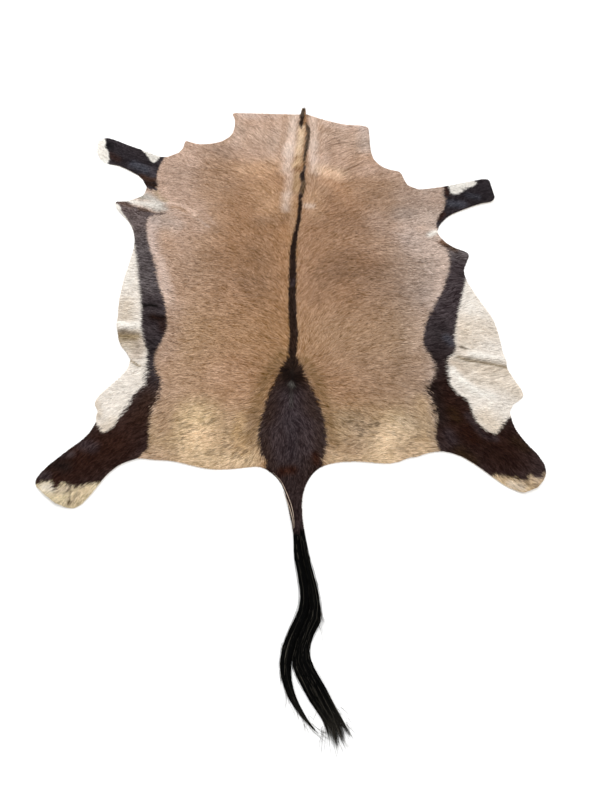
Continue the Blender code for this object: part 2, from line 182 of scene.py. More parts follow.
class Plan:
    """A level grid over the hide, with ways to blur values on it and to read them anywhere."""

    def __init__(self, step):
        self.step = step
        self.low = hide_low[:2] - PLAN_MARGIN
        self.shape = np.ceil((hide_high[:2] + PLAN_MARGIN - self.low) / step).astype(int) + 1
        across, along = np.meshgrid(*(np.arange(count) for count in self.shape), indexing="ij")
        self.places = self.low + step * np.column_stack([across.ravel(), along.ravel()])

    def blur(self, values, reach):
        """Values blurred with a bell of this reach, in metres."""
        waves = np.meshgrid(*(np.fft.fftfreq(n, self.step) for n in self.shape), indexing="ij")
        bell = np.exp(-2 * (math.pi * reach) ** 2 * (waves[0] ** 2 + waves[1] ** 2))
        return np.fft.ifft2(np.fft.fft2(values.reshape(self.shape)) * bell).real.ravel()

    def blur_within(self, values, known, reach):
        """The same, where only the known squares count."""
        return self.blur(values * known, reach) / np.maximum(self.blur(known.astype(float), reach), 1e-4)

    def unevenness(self, chance, reach):
        """Random values with soft humps of this size, even in the long run and about 1 high."""
        humps = self.blur(chance.standard_normal(len(self.places)), reach)
        return humps / humps.std()

    def read(self, values, points):
        """Values read between the grid's squares."""
        at = (points - self.low) / self.step
        at = np.clip(at, 0, self.shape - 1.001)
        column, row = at.astype(int).T
        right, up = (at - at.astype(int)).T
        grid = values.reshape(self.shape)
        lower = grid[column, row] * (1 - right) + grid[column + 1, row] * right
        upper = grid[column, row + 1] * (1 - right) + grid[column + 1, row + 1] * right
        return lower * (1 - up) + upper * up


coarse = Plan(0.005)
fine = Plan(0.0025)
chance = np.random.default_rng(11)
print("coarse plan", coarse.shape, "and fine plan", fine.shape)

# %% [markdown]
# ## The hide's edge and its heights
# The sheet must lie exactly on its solid's folds. So the edge is read from the solid's top face, and the
# heights by rays: one down onto the solid and one up from below, on each square of the coarse plan. Blurring
# takes the solid's flat facets out of the folds. Only a copy of the node is touched, and it is merged first,
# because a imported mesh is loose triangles.

# %% Edge
EDGE_STEP = 0.007
STEEPEST_TOP = 0.3      # a face whose normal points up by more than this is on top
ROUNDED = [(0.085, -0.765), (-0.085, -0.765)]   # where the tail's sides sweep into the rump
ROUNDED_REACH = 0.070
ROUNDING = 12


def merged_copy(node):
    """A bmesh of a CAD node with its loose triangles joined."""
    copy = bmesh.new()
    copy.from_mesh(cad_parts[node].data)
    bmesh.ops.remove_doubles(copy, verts=copy.verts, dist=0.00001)
    return copy


def top_edge(solid):
    """The border of the solid's top side, anticlockwise."""
    top = solid.copy()
    hidden = [face for face in top.faces if face.normal.z < STEEPEST_TOP]
    bmesh.ops.delete(top, geom=hidden, context="FACES")
    following = {}
    for edge in top.edges:
        if edge.is_boundary:
            loop = edge.link_loops[0]
            following[loop.vert] = loop.link_loop_next.vert
    start = next(iter(following))
    ring = [start]
    while following[ring[-1]] is not start:
        ring.append(following[ring[-1]])
    places = np.array([vert.co.xy for vert in ring])
    top.free()
    return places


def evened_ring(places, step):
    """Points spaced evenly along a closed ring, on its own straight sides, so that no corner swings out."""
    ring = np.vstack([places, places[:1]])
    run = np.concatenate([[0.0], np.cumsum(np.linalg.norm(np.diff(ring, axis=0), axis=1))])
    at = np.linspace(0.0, run[-1], round(run[-1] / step), endpoint=False)
    return np.column_stack([np.interp(at, run, ring[:, 0]), np.interp(at, run, ring[:, 1])])


def rounded_ring(ring, centre, reach):
    """The ring with its bends made rounder near a place."""
    share = np.exp(-((ring - centre) ** 2).sum(axis=1) / reach ** 2)[:, None]
    for _ in range(ROUNDING):
        between = 0.5 * (np.roll(ring, 1, axis=0) + np.roll(ring, -1, axis=0))
        ring = ring + 0.5 * share * (between - ring)
    return ring


solid_hide = merged_copy("hide")
solid_hide.faces.ensure_lookup_table()
solid_hide.normal_update()
edge = evened_ring(top_edge(solid_hide), EDGE_STEP)
for centre in ROUNDED:
    edge = rounded_ring(edge, np.array(centre), ROUNDED_REACH)
room = inward(coarse.places, edge)
print("edge of", len(edge), "points, round an area of", round((room > 0).sum() * coarse.step ** 2, 3), "m2")

# %% Heights
RAY_START = 0.2
COAT_IN_SOLID = 0.004       # the solid's slab: leather with its hair pressed flat
LEATHER = 0.0018
HEIGHT_BLUR = 0.006
TAIL_ROUND = (-0.70, -0.76)  # from here down the tail the solid's swell is rolled skin, and not hair

tree = BVHTree.FromBMesh(solid_hide)
found_top = np.zeros(len(coarse.places))
found_under = np.zeros(len(coarse.places))
met = np.zeros(len(coarse.places), dtype=bool)
for number, (x, y) in enumerate(coarse.places):
    if room[number] > 0:
        down = tree.ray_cast(Vector((x, y, RAY_START)), Vector((0, 0, -1)))[0]
        up = tree.ray_cast(Vector((x, y, -RAY_START)), Vector((0, 0, 1)))[0]
        if down and up:
            found_top[number], found_under[number], met[number] = down.z, up.z, True
solid_hide.free()

lift = coarse.blur_within(found_under, met, HEIGHT_BLUR)
swell = coarse.blur_within(found_top - found_under - COAT_IN_SOLID, met, HEIGHT_BLUR)
swell = np.clip(swell, 0.0, None)
rolled = smooth_step(-TAIL_ROUND[0], -TAIL_ROUND[1], -coarse.places[:, 1])
print("folds lift the sheet by up to", round(lift.max() * 1000, 1), "mm")

# %% [markdown]
# ## Creases
# The solid has the main folds. A hide on a floor also has narrow creases where it was once folded, and it
# never lies quite flat. Each crease is a soft ridge or trough through three places, as high or as deep as it
# looks. The rest is a slow rise and fall of a millimetre or two.

# %% Creases
Crease = namedtuple("Crease", "start middle end height half_width")
CREASES = [
    Crease((-0.560, -0.305, 1.0), (-0.505, -0.311, 1.0), (-0.455, -0.312, 0.0), -0.0030, 0.012),
    Crease((-0.555, -0.330, 0.4), (-0.520, -0.338, 1.0), (-0.480, -0.330, 0.0), 0.0030, 0.022),
    Crease((-0.492, -0.195, 0.0), (-0.460, -0.194, 1.0), (-0.432, -0.198, 0.0), -0.0040, 0.009),
    Crease((-0.445, -0.238, 0.0), (-0.420, -0.240, 1.0), (-0.392, -0.246, 0.0), -0.0040, 0.009),
    Crease((-0.495, -0.398, 1.0), (-0.478, -0.412, 1.0), (-0.455, -0.436, 0.0), -0.0030, 0.009),
    Crease((0.495, -0.390, 0.0), (0.550, -0.404, 1.0), (0.660, -0.424, 0.8), -0.0035, 0.012),
    Crease((0.500, -0.455, 0.0), (0.545, -0.478, 1.0), (0.610, -0.500, 0.2), -0.0030, 0.016),
    Crease((0.560, -0.300, 0.0), (0.600, -0.330, 1.0), (0.655, -0.345, 0.6), 0.0030, 0.018),
    Crease((0.600, -0.470, 0.2), (0.640, -0.480, 1.0), (0.680, -0.500, 0.6), 0.0030, 0.014),
    Crease((-0.430, 0.260, 0.0), (-0.380, 0.235, 1.0), (-0.300, 0.205, 0.0), -0.0020, 0.016),
    Crease((-0.530, 0.240, 0.6), (-0.480, 0.214, 1.0), (-0.420, 0.190, 0.0), -0.0030, 0.012),
    Crease((0.500, 0.160, 0.4), (0.470, 0.150, 1.0), (0.425, 0.160, 0.0), -0.0025, 0.012),
    Crease((0.520, -0.020, 0.0), (0.545, -0.050, 1.0), (0.560, -0.100, 0.0), -0.0030, 0.012),
    Crease((-0.105, 0.640, 0.0), (-0.100, 0.560, 1.0), (-0.085, 0.470, 0.0), -0.0012, 0.030),
    Crease((-0.300, 0.560, 0.5), (-0.290, 0.530, 1.0), (-0.270, 0.490, 0.0), -0.0016, 0.020),
    Crease((-0.620, 0.470, 0.0), (-0.570, 0.455, 1.0), (-0.530, 0.430, 0.0), 0.0030, 0.018),
    Crease((0.600, 0.300, 0.0), (0.640, 0.290, 1.0), (0.700, 0.300, 0.4), 0.0025, 0.016),
    Crease((-0.600, -0.690, 0.3), (-0.560, -0.700, 1.0), (-0.520, -0.690, 0.0), -0.0025, 0.014),
    Crease((0.600, -0.700, 0.3), (0.560, -0.690, 1.0), (0.520, -0.670, 0.0), -0.0025, 0.014),
    Crease((-0.048, -0.762, 1.0), (-0.016, -0.822, 1.0), (0.010, -0.915, 0.6), -0.0030, 0.006),
]
SLOW_RISE = 0.0009
EDGE_CURL = 0.0020          # how far the cut edge curls up at the most, over its outer CURL_WIDTH
CURL_WIDTH = 0.022


def crease_height(points, crease):
    """How high a crease stands at each point, or how deep it lies."""
    line = smooth_curve([crease.start, crease.middle, crease.end], crease.half_width / 2)
    gap, share = near_line(points, line)
    across = np.clip(gap / crease.half_width, 0.0, 1.0)
    return crease.height * np.clip(share[:, 0], 0.0, 1.0) * 0.5 * (1.0 + np.cos(math.pi * across))


creased = sum(crease_height(fine.places, crease) for crease in CREASES)
fine_room = coarse.read(room, fine.places)
slow = SLOW_RISE * (1.0 + np.clip(fine.unevenness(chance, 0.045), -1.0, 2.0))
curl = EDGE_CURL * np.clip(fine.unevenness(chance, 0.050), 0.0, 1.0)
curl = curl * (1.0 - smooth_step(0.0, CURL_WIDTH, fine_room))
sheet_lift = np.clip(coarse.read(lift, fine.places) + creased + slow + curl, 0.0, None)
skin_top = sheet_lift + LEATHER + coarse.read(swell * rolled, fine.places)
print(len(CREASES), "creases, down to", round(creased.min() * 1000, 1), "mm")

# %% [markdown]
# ## The leather sheet
# A sheet of any outline needs even triangles to bend well. A triangle fill of the edge with an even lattice
# of points inside gives that, where a stretched grid would have slivers. It is raised to its heights and
# given a thickness, and its underside is set down on the floor or under the fold.

# %% Sheet
LATTICE_STEP = 0.0110
EDGE_ROOM = 0.0055


def lattice(step):
    """Rows of points, each row shifted by half a step, over the whole hide."""
    low, high = hide_low[:2] - step, hide_high[:2] + step
    row_step = step * math.sqrt(3) / 2
    rows = np.arange(low[1], high[1], row_step)
    columns = np.arange(low[0], high[0], step)
    across, along = np.meshgrid(columns, rows)
    across = across + 0.5 * step * (np.arange(len(rows)) % 2)[:, None]
    return np.column_stack([across.ravel(), along.ravel()])


filling = lattice(LATTICE_STEP)
filling = filling[coarse.read(room, filling) > EDGE_ROOM]
points = [Vector(place) for place in np.vstack([edge, filling])]
filled = delaunay_2d_cdt(points, [], [list(range(len(edge)))], 0, 1e-6, True)
places = np.array([tuple(p) for p in filled[0]])
triangles = [face for face, around in zip(filled[2], filled[5]) if around]

sheet = bmesh.new()
for (x, y), z in zip(places, fine.read(skin_top, places)):
    sheet.verts.new((x, y, z))
sheet.verts.ensure_lookup_table()
for face in triangles:
    sheet.faces.new([sheet.verts[number] for number in face]).smooth = True
top_count = len(sheet.verts)
bmesh.ops.solidify(sheet, geom=sheet.faces[:], thickness=LEATHER)
sheet.verts.ensure_lookup_table()
under = np.array([vert.co.xy for vert in sheet.verts[top_count:]])
print("sheet of", len(sheet.faces), "faces;", top_count, "points on top and", len(under), "below")

# %% [markdown]
# ## The animal's colours
# An oryx is fawn, with a dark line down its back, dark bands along its flanks, dark legs with pale feet, and
# a white belly. Each colour is a tint with a name. The light coat gets its tone from the back to the flank,
# and is then painted as if with a soft brush: a stroke runs through listed places, and it is full on its
# line and gone at twice its reach. The dark hair has strokes of its own. Closed outlines say which hair is
# dark.

# %% Tints
def tint(red, green, blue):
    """A colour as a screen shows it, 0 to 255, as the light it gives off."""
    screen = np.array([red, green, blue]) / 255.0
    return np.where(screen <= 0.04045, screen / 12.92, ((screen + 0.055) / 1.055) ** 2.4)


def toned(lighter, warmer=0.0, greener=0.0):
    """What a colour is multiplied with to make it lighter, warmer or greener."""
    return lighter * np.array([1.0 + warmer, 1.0 + greener, 1.0 - 1.5 * warmer])


WARM_BROWN = tint(150, 114, 83)
WARM_FAWN = tint(156, 122, 95)
FAWN = tint(160, 126, 99)
DARK_FAWN = tint(134, 104, 81)
GREY_FAWN = tint(153, 126, 105)
TAN = tint(167, 136, 111)
ORANGE_TAN = tint(183, 150, 121)
APRICOT = tint(209, 179, 152)
PINK_FAWN = tint(184, 157, 139)
NECK_PINK = tint(190, 161, 141)
PALE_PINK = tint(206, 181, 164)
PALE_BAND = tint(210, 190, 176)
GREY_PINK = tint(188, 168, 155)
STRAW = tint(207, 181, 148)
DULL_STRAW = tint(180, 153, 123)
GOLD_TAN = tint(180, 150, 112)
HALO_BROWN = tint(137, 107, 76)
HALO_GOLD = GOLD_TAN * toned(0.88, 0.05)
CREAM = tint(236, 228, 218)
WARM_CREAM = tint(216, 201, 182)
WHITE_HAIR = tint(240, 235, 227)
FOLD_SHADE = tint(156, 134, 110)
FOOT_CREAM = tint(218, 202, 168)
FOOT_TAN = tint(204, 179, 144)
GREY_WHITE = tint(212, 205, 196)
MANE_CREAM = tint(216, 190, 160)
MANE_TAN = tint(184, 155, 120)
FLECK_BROWN = tint(88, 71, 51)
HIND_BROWN = tint(46, 24, 15)
# The bands' brown-grey and grey are partly their own colour and partly painted sheen.
BAND_BROWN = tint(110, 97, 95)
BAND_GREY = tint(96, 88, 88)
BAND_DARK = tint(64, 55, 57)
BAND_BLACK = tint(36, 27, 25)
LEG_BLACK = tint(38, 33, 36)
LEG_GREY = tint(72, 66, 71)
SPINE_BROWN = tint(36, 23, 16)
MANE_TIPS = tint(78, 64, 52)
# Painted grey sheen on dark hair, on the croup and the hind legs
DARK_HAIR_SHEEN = tint(66, 55, 58)
CROUP_EDGE = tint(52, 34, 24)
WHORL_BLACK = tint(22, 11, 7)
SHEEN_GREY = tint(84, 81, 76)
# Painted bluish sheen on dark hair
BLUE_SHEEN = tint(72, 72, 80)
BAND_TOP_BROWN = tint(98, 76, 62)
OLIVE_SHADE = tint(180, 160, 130)
TAIL_BROWN = tint(46, 34, 33)
RUST = tint(66, 31, 11)
EARTH_BROWN = tint(46, 30, 10)
# Painted shade: the first, second and fourth of these in the belly's folds and creases, the third in the
# armpit's white hair. The first also makes a small dark fleck.
BROWN_SHADE_AND_FLECK = tint(140, 120, 88)
TAN_FOLD_SHADE = tint(188, 170, 143)
ARMPIT_SHADE_GREY = tint(165, 160, 148)
PALE_FOLD_SHADE = tint(206, 190, 173)

LEFT_FLANK = [(0.0, WARM_BROWN), (0.20, FAWN), (0.31, TAN), (0.43, PINK_FAWN)]
RIGHT_FLANK = [(0.0, WARM_FAWN), (0.18, WARM_FAWN * 0.93), (0.32, GREY_FAWN), (0.47, GREY_PINK * 0.90)]
print("warm fawn gives off", WARM_FAWN.round(3))

# %% Lines of the back
# Each place is x, y and half the line's width.
SPINE_LINE = [
    (0.0490, 0.690, 0.0030), (0.0576, 0.655, 0.0072), (0.0592, 0.621, 0.0078), (0.0558, 0.582, 0.0074),
    (0.0512, 0.543, 0.0066), (0.0453, 0.505, 0.0048), (0.0434, 0.468, 0.0040), (0.0425, 0.431, 0.0046),
    (0.0365, 0.401, 0.0093), (0.0358, 0.377, 0.0092), (0.0400, 0.357, 0.0080), (0.0380, 0.335, 0.0084),
    (0.0340, 0.312, 0.0084), (0.0303, 0.295, 0.0078), (0.0276, 0.277, 0.0074), (0.0275, 0.255, 0.0074),
    (0.0250, 0.215, 0.0074), (0.0210, 0.170, 0.0078), (0.0135, 0.125, 0.0080), (0.0080, 0.085, 0.0090),
    (0.0030, 0.025, 0.0107), (0.0030, -0.030, 0.0118), (0.0022, -0.100, 0.0126), (0.0014, -0.170, 0.0128),
    (0.0044, -0.250, 0.0132), (0.0074, -0.315, 0.0136), (0.0030, -0.375, 0.0140),
]
MANE_WEDGE = [
    (0.044, 0.792, 0.004), (0.042, 0.765, 0.008), (0.038, 0.735, 0.011), (0.035, 0.705, 0.011),
    (0.031, 0.675, 0.009), (0.034, 0.650, 0.003),
]


def spine_x(y):
    """Where the middle of the back runs."""
    line = np.array(SPINE_LINE)[::-1]
    return np.interp(y, line[:, 1], line[:, 0])


print("the line of the back runs through", len(SPINE_LINE), "places")

# %% [markdown]
# ## Painting the coat
# The strokes lie over each other in their order, like glazes. First come the light coat's colours, then its
# tones, which only make it lighter or darker, warmer or greener, and after them the pale grounds of the belly
# and the feet with their own strokes. The dark hair's strokes are a second painting, seen where the marks
# say. All these tables are in millimetres: the places that a stroke runs through, its reach, its share and
# its colour.

# %% Strokes on the neck and shoulders
Stroke = namedtuple("Stroke", "places reach share colour")
NECK_STROKES = [
    # The neck, and the pale partings on both sides of the mane
    ([(-130, 720), (-140, 550)], 80, 1.0, NECK_PINK),
    ([(190, 680), (200, 520)], 85, 1.0, NECK_PINK),
    ([(-220, 740), (-160, 740)], 22, 0.6, PALE_PINK),
    ([(-220, 680), (-220, 570)], 26, 0.7, PALE_PINK * 0.93),
    ([(120, 700), (200, 675)], 25, 0.7, PALE_PINK),
    ([(-300, 530), (-250, 510)], 30, 0.5, GREY_FAWN * 1.08),
    ([(270, 520), (240, 460)], 35, 0.5, TAN),
    ([(280, 670), (280, 540)], 28, 0.8, GREY_PINK * 1.06),
    ([(-48, 740), (-56, 660), (-66, 600), (-80, 500)], 26, 0.5, PALE_PINK),
    ([(118, 620), (122, 530), (118, 460)], 18, 0.4, PALE_PINK),
    ([(8, 750), (0, 675), (-5, 608), (-17, 515)], 20, 0.85, PALE_BAND),
    ([(-10, 556), (-17, 505), (-25, 430)], 20, 0.70, PALE_BAND),
    ([(76, 735), (78, 661), (80, 608), (78, 545)], 16, 0.65, PALE_BAND),
    ([(78, 575), (77, 505), (82, 415)], 17, 0.65, PALE_BAND),
    ([(93, 456), (101, 470)], 5, 0.4, GREY_FAWN),
    ([(104, 660), (114, 668)], 6, 0.5, TAN * 0.9),
    ([(106, 697), (118, 705)], 5, 0.5, TAN * 0.8),
    ([(56, 800), (56, 735)], 10, 0.9, GREY_FAWN * 0.90),
    # The shoulders
    ([(-180, 430), (-80, 450)], 45, 0.6, ORANGE_TAN * 1.05),
    ([(-120, 340), (-80, 240)], 50, 0.7, ORANGE_TAN * 0.94),
    ([(-310, 555), (-240, 530)], 35, 0.6, PINK_FAWN),
    ([(-390, 550), (-370, 460)], 32, 0.6, PINK_FAWN),
    ([(-470, 460), (-420, 360)], 45, 0.7, PINK_FAWN * 0.93),
    ([(-300, 420), (-280, 330)], 45, 0.6, TAN),
    ([(-460, 310), (-400, 280), (-340, 250)], 22, 0.5, PINK_FAWN),
    ([(-350, 210), (-330, 140)], 35, 0.6, PINK_FAWN),
    ([(-450, 200), (-440, 140)], 35, 0.7, GREY_PINK * 1.08),
    ([(100, 430), (135, 420), (175, 405)], 28, 0.75, APRICOT),
    ([(80, 385), (120, 330)], 24, 0.6, TAN * 0.94),
    ([(135, 297), (155, 290)], 7, 0.6, DARK_FAWN),
    ([(75, 290), (90, 210)], 30, 0.7, ORANGE_TAN),
    ([(240, 340), (330, 380)], 45, 0.5, TAN * 1.06),
    ([(280, 440), (370, 420)], 40, 0.8, PINK_FAWN),
    ([(430, 300), (520, 270)], 45, 0.6, PINK_FAWN * 0.80),
    ([(530, 340), (500, 250)], 20, 0.3, PINK_FAWN),
]
print(len(NECK_STROKES), "strokes on the neck and shoulders")

# %% Strokes on the flanks and the back
FLANK_STROKES = [
    # The flanks, with a pale strip beside each dark band
    ([(-220, 220), (-200, 20)], 60, 0.6, WARM_BROWN),
    ([(-445, 110), (-400, -20), (-360, -140)], 30, 0.6, TAN * 1.12),
    ([(-496, 150), (-480, 60), (-448, -20)], 14, 0.75, PALE_PINK * 1.04),
    ([(-455, -10), (-428, -90), (-402, -175)], 20, 0.85, PALE_PINK * 0.94),
    ([(-370, -260), (-370, -450)], 45, 0.7, TAN * 1.05),
    ([(140, -50), (190, 10), (260, -20)], 45, 0.8, DARK_FAWN),
    ([(140, 220), (240, 160)], 45, 0.6, DARK_FAWN * 1.18),
    ([(160, -300), (240, -420)], 80, 0.5, GREY_FAWN * 1.04),
    ([(300, 180), (360, 120)], 40, 0.6, PINK_FAWN * 0.9),
    ([(400, 190), (470, 160)], 40, 0.8, GREY_PINK),
    ([(420, 100), (470, 30)], 45, 0.8, GREY_PINK),
    ([(515, 50), (515, -20), (485, -90), (445, -170)], 26, 0.9, GREY_PINK * 1.05),
    ([(420, -210), (395, -280), (390, -340)], 26, 0.35, PINK_FAWN * 0.95),
    ([(390, -400), (370, -480)], 35, 0.7, GREY_FAWN),
    # The bright and dark streaks that run in from the left armpit, along a crease there: the bright line is a
    # painted highlight, and the darker stroke just below it is painted shade
    ([(-490, 190), (-450, 170), (-400, 160)], 22, 0.7, GREY_PINK * 0.86),
    ([(-445, 255), (-404, 249), (-362, 222), (-340, 199)], 8, 0.8, PALE_PINK),
    ([(-337, 229), (-305, 202), (-272, 158)], 6, 0.5, PINK_FAWN * 1.05),
    ([(-425, 229), (-404, 228), (-382, 215)], 7, 0.75, TAN * 0.90),
    ([(-385, 202), (-354, 188), (-323, 172), (-291, 145)], 5, 0.8, FAWN * 0.78),
    ([(-446, 214), (-411, 211), (-338, 182), (-291, 145)], 4, 0.75, PALE_PINK),
    # Beside the mane and the line of the back
    ([(-50, 408), (-10, 400)], 13, 0.35, GREY_FAWN),
    ([(-12, 400), (-16, 300)], 15, 0.65, PALE_PINK),
    ([(-22, 300), (-23, 235)], 16, 0.65, PALE_BAND),
    ([(52, 247), (68, 245)], 12, 0.6, PALE_BAND),
    ([(63, 400), (63, 320)], 14, 0.6, TAN * 0.95),
    ([(34, 660), (28, 580), (20, 510)], 12, 0.85, MANE_CREAM),
    ([(10, 450), (24, 480)], 13, 0.75, MANE_TAN),
    ([(16, 400), (14, 320)], 12, 0.6, MANE_TAN * 1.05),
    ([(10, 300), (0, 240)], 12, 0.5, ORANGE_TAN),
    ([(4, 220), (0, 120)], 12, 0.5, ORANGE_TAN * 0.9),
]
back_halo = Stroke([place[:2] for place in SPINE_LINE[17:]], 0.012, 0.55, HALO_BROWN)
print(len(FLANK_STROKES), "strokes on the flanks, and a halo along the line of the back")

# %% Strokes on the rump
RUMP_STROKES = [
    # Straw hair, darker beside the croup and the legs
    ([(-370, -660), (-120, -660)], 75, 0.9, DULL_STRAW),
    ([(140, -650), (380, -650)], 70, 0.9, DULL_STRAW),
    ([(-275, -600), (-270, -720)], 50, 0.95, STRAW),
    ([(315, -630), (260, -690), (270, -730)], 42, 0.95, STRAW),
    ([(160, -600), (200, -625)], 26, 0.5, FOLD_SHADE * 0.85),
    ([(-375, -540), (-365, -630)], 22, 0.7, TAN * 0.90),
    ([(388, -540), (388, -650)], 22, 0.5, GOLD_TAN * 0.92),
    ([(-120, -735), (-220, -735)], 30, 0.9, STRAW),
    ([(120, -735), (220, -745)], 26, 0.6, STRAW),
    ([(340, -720), (390, -700)], 22, 0.5, STRAW),
    ([(-145, -600), (-150, -650), (-135, -700)], 18, 0.6, HALO_GOLD),
    ([(-30, -380), (-75, -470), (-102, -560), (-112, -660)], 21, 0.75, HALO_BROWN * 0.86),
    ([(40, -400), (82, -480), (108, -570), (118, -670)], 19, 0.75, HALO_BROWN * 0.86),
    ([(404, -650), (418, -715)], 12, 0.5, FOLD_SHADE * 0.80),
    ([(250, -622), (251, -616)], 6, 0.9, FLECK_BROWN),
]
print(len(RUMP_STROKES), "strokes on the rump")

# %% Tones
# Places, reach, and how much lighter, warmer and greener they make the coat
TONES = [
    ([(-120, 30), (-110, -130)], 45, 0.83), ([(-190, 0), (-380, -10)], 45, 0.91),
    ([(-100, 200), (-100, 80)], 35, 0.90), ([(-380, -50), (-360, -100)], 35, 0.92),
    ([(-120, 660), (-90, 570)], 30, 0.95), ([(-240, 620), (-80, 600)], 60, 0.91, -0.015, 0.01),
    ([(160, 640), (250, 580)], 60, 0.90, -0.015, 0.01), ([(-420, 420), (-380, 420)], 35, 0.93),
    ([(380, -100), (420, -180)], 35, 0.80), ([(180, -60), (450, -70)], 45, 0.92),
    ([(-270, -70), (-150, -70)], 40, 0.93), ([(-380, -530), (-380, -680)], 22, 0.93),
    ([(80, -80), (110, -130)], 30, 0.90), ([(370, 220), (410, 220)], 30, 0.80),
    ([(-240, 640), (-220, 560)], 26, 1.02, -0.02), ([(-280, 540), (-260, 510)], 28, 0.86),
    ([(130, 530), (190, 520)], 30, 0.94), ([(180, -680), (240, -680)], 30, 0.90),
    ([(220, 70), (280, 70)], 30, 1.08), ([(370, -90), (420, -120)], 30, 0.93),
    ([(-120, 290), (-120, 180)], 30, 0.95), ([(-90, 420), (-50, 400)], 20, 1.08),
    ([(-170, -430), (-120, -520)], 28, 1.08), ([(120, 380), (170, 360)], 26, 1.08),
    ([(280, 500), (290, 440)], 30, 1.08), ([(120, 380), (140, 380)], 20, 1.12),
    ([(170, 360), (280, 360)], 35, 1.04), ([(180, 310), (220, 260)], 35, 1.12),
    ([(-90, 460), (-30, 420)], 22, 1.10), ([(-130, 470), (-50, 450), (90, 470)], 45, 1.10, -0.03),
    ([(100, 420), (180, 420)], 40, 1.00, -0.03), ([(430, 270), (490, 240)], 30, 0.91),
    ([(130, 230), (140, 200)], 25, 1.12), ([(-280, 230), (-270, 100)], 32, 1.12, -0.02),
    ([(-420, 160), (-370, 200)], 28, 1.08), ([(370, 120), (280, 50), (240, 10)], 40, 1.16),
    ([(280, 60), (280, 30)], 24, 1.07), ([(-20, 120), (-25, 100)], 18, 1.12),
    ([(-170, -420), (-160, -540)], 35, 1.10), ([(280, -480), (330, -580)], 36, 1.18),
    ([(-250, -440), (-140, -510)], 42, 1.16), ([(130, -480), (220, -460)], 42, 1.14),
    ([(-250, -640), (-160, -650)], 38, 1.12), ([(280, -660), (360, -660)], 45, 1.10),
    ([(-300, -320), (300, -320)], 110, 1.02, 0.02, 0.03),
    ([(-300, -580), (300, -580)], 110, 1.00, 0.02, 0.03), ([(-120, 360), (-80, 180)], 60, 1.00, 0.03),
    ([(-500, 170), (-475, 40)], 28, 1.00, -0.055), ([(-430, 0), (-410, -120)], 30, 1.00, -0.03),
    ([(-380, -220), (-380, -380)], 30, 1.00, -0.03), ([(-270, 220), (-270, 140)], 32, 1.00, -0.03),
    ([(180, 100), (380, 80)], 50, 1.04, -0.025), ([(330, -620), (430, -620)], 35, 1.00, -0.045),
    ([(200, -640), (300, -660)], 40, 1.04, -0.02), ([(130, 570), (140, 520)], 20, 0.92),
    ([(180, -680), (220, -680)], 25, 0.94), ([(-170, -420), (-160, -460)], 30, 1.08),
    ([(200, 60), (320, 70)], 35, 1.09), ([(380, 240), (330, 250)], 30, 1.05),
    ([(370, -100), (430, -120)], 30, 0.93), ([(-260, 630), (-200, 570)], 35, 0.94),
    ([(100, 530), (80, 570)], 18, 0.92), ([(-20, -80), (-60, -100)], 22, 0.92),
    ([(-110, 440), (-120, 400)], 30, 1.10), ([(130, 420), (170, 390)], 24, 1.10),
    ([(80, -140), (90, -170)], 24, 0.90), ([(200, 60), (330, 50)], 34, 1.24, -0.03),
    ([(-180, -620), (-140, -520)], 30, 1.20, -0.02, 0.01),
    ([(-220, -450), (-170, -460)], 30, 1.24, -0.03, 0.01), ([(370, 220), (410, 220)], 24, 0.78),
    ([(-20, 230), (-20, 190)], 20, 0.80), ([(-70, 170), (-120, 170)], 26, 0.84),
    ([(380, -120), (430, -130)], 26, 0.80), ([(180, -680), (220, -680)], 20, 0.84),
    ([(-5, 620), (-8, 580)], 14, 1.13), ([(26, 600), (24, 560)], 12, 0.97, -0.025),
    ([(-130, 430), (-120, 410)], 30, 1.19), ([(130, 380), (180, 320)], 30, 1.22),
    ([(-160, -80), (-110, -80)], 26, 0.80), ([(220, 680), (280, 670)], 30, 1.08, -0.035),
    ([(-200, 730), (-80, 730)], 22, 1.06, -0.045), ([(-280, 220), (-260, 200)], 28, 1.20, -0.04),
    ([(-110, -590), (-110, -620)], 18, 0.91), ([(-270, -650), (-230, -660)], 28, 1.23),
    ([(260, -640), (270, -670)], 22, 1.17, -0.02), ([(-70, 420), (-70, 320)], 20, 1.16),
    ([(-20, 430), (20, 420)], 14, 0.86), ([(8, 390), (6, 310)], 14, 0.82),
]
print(len(TONES), "tones")

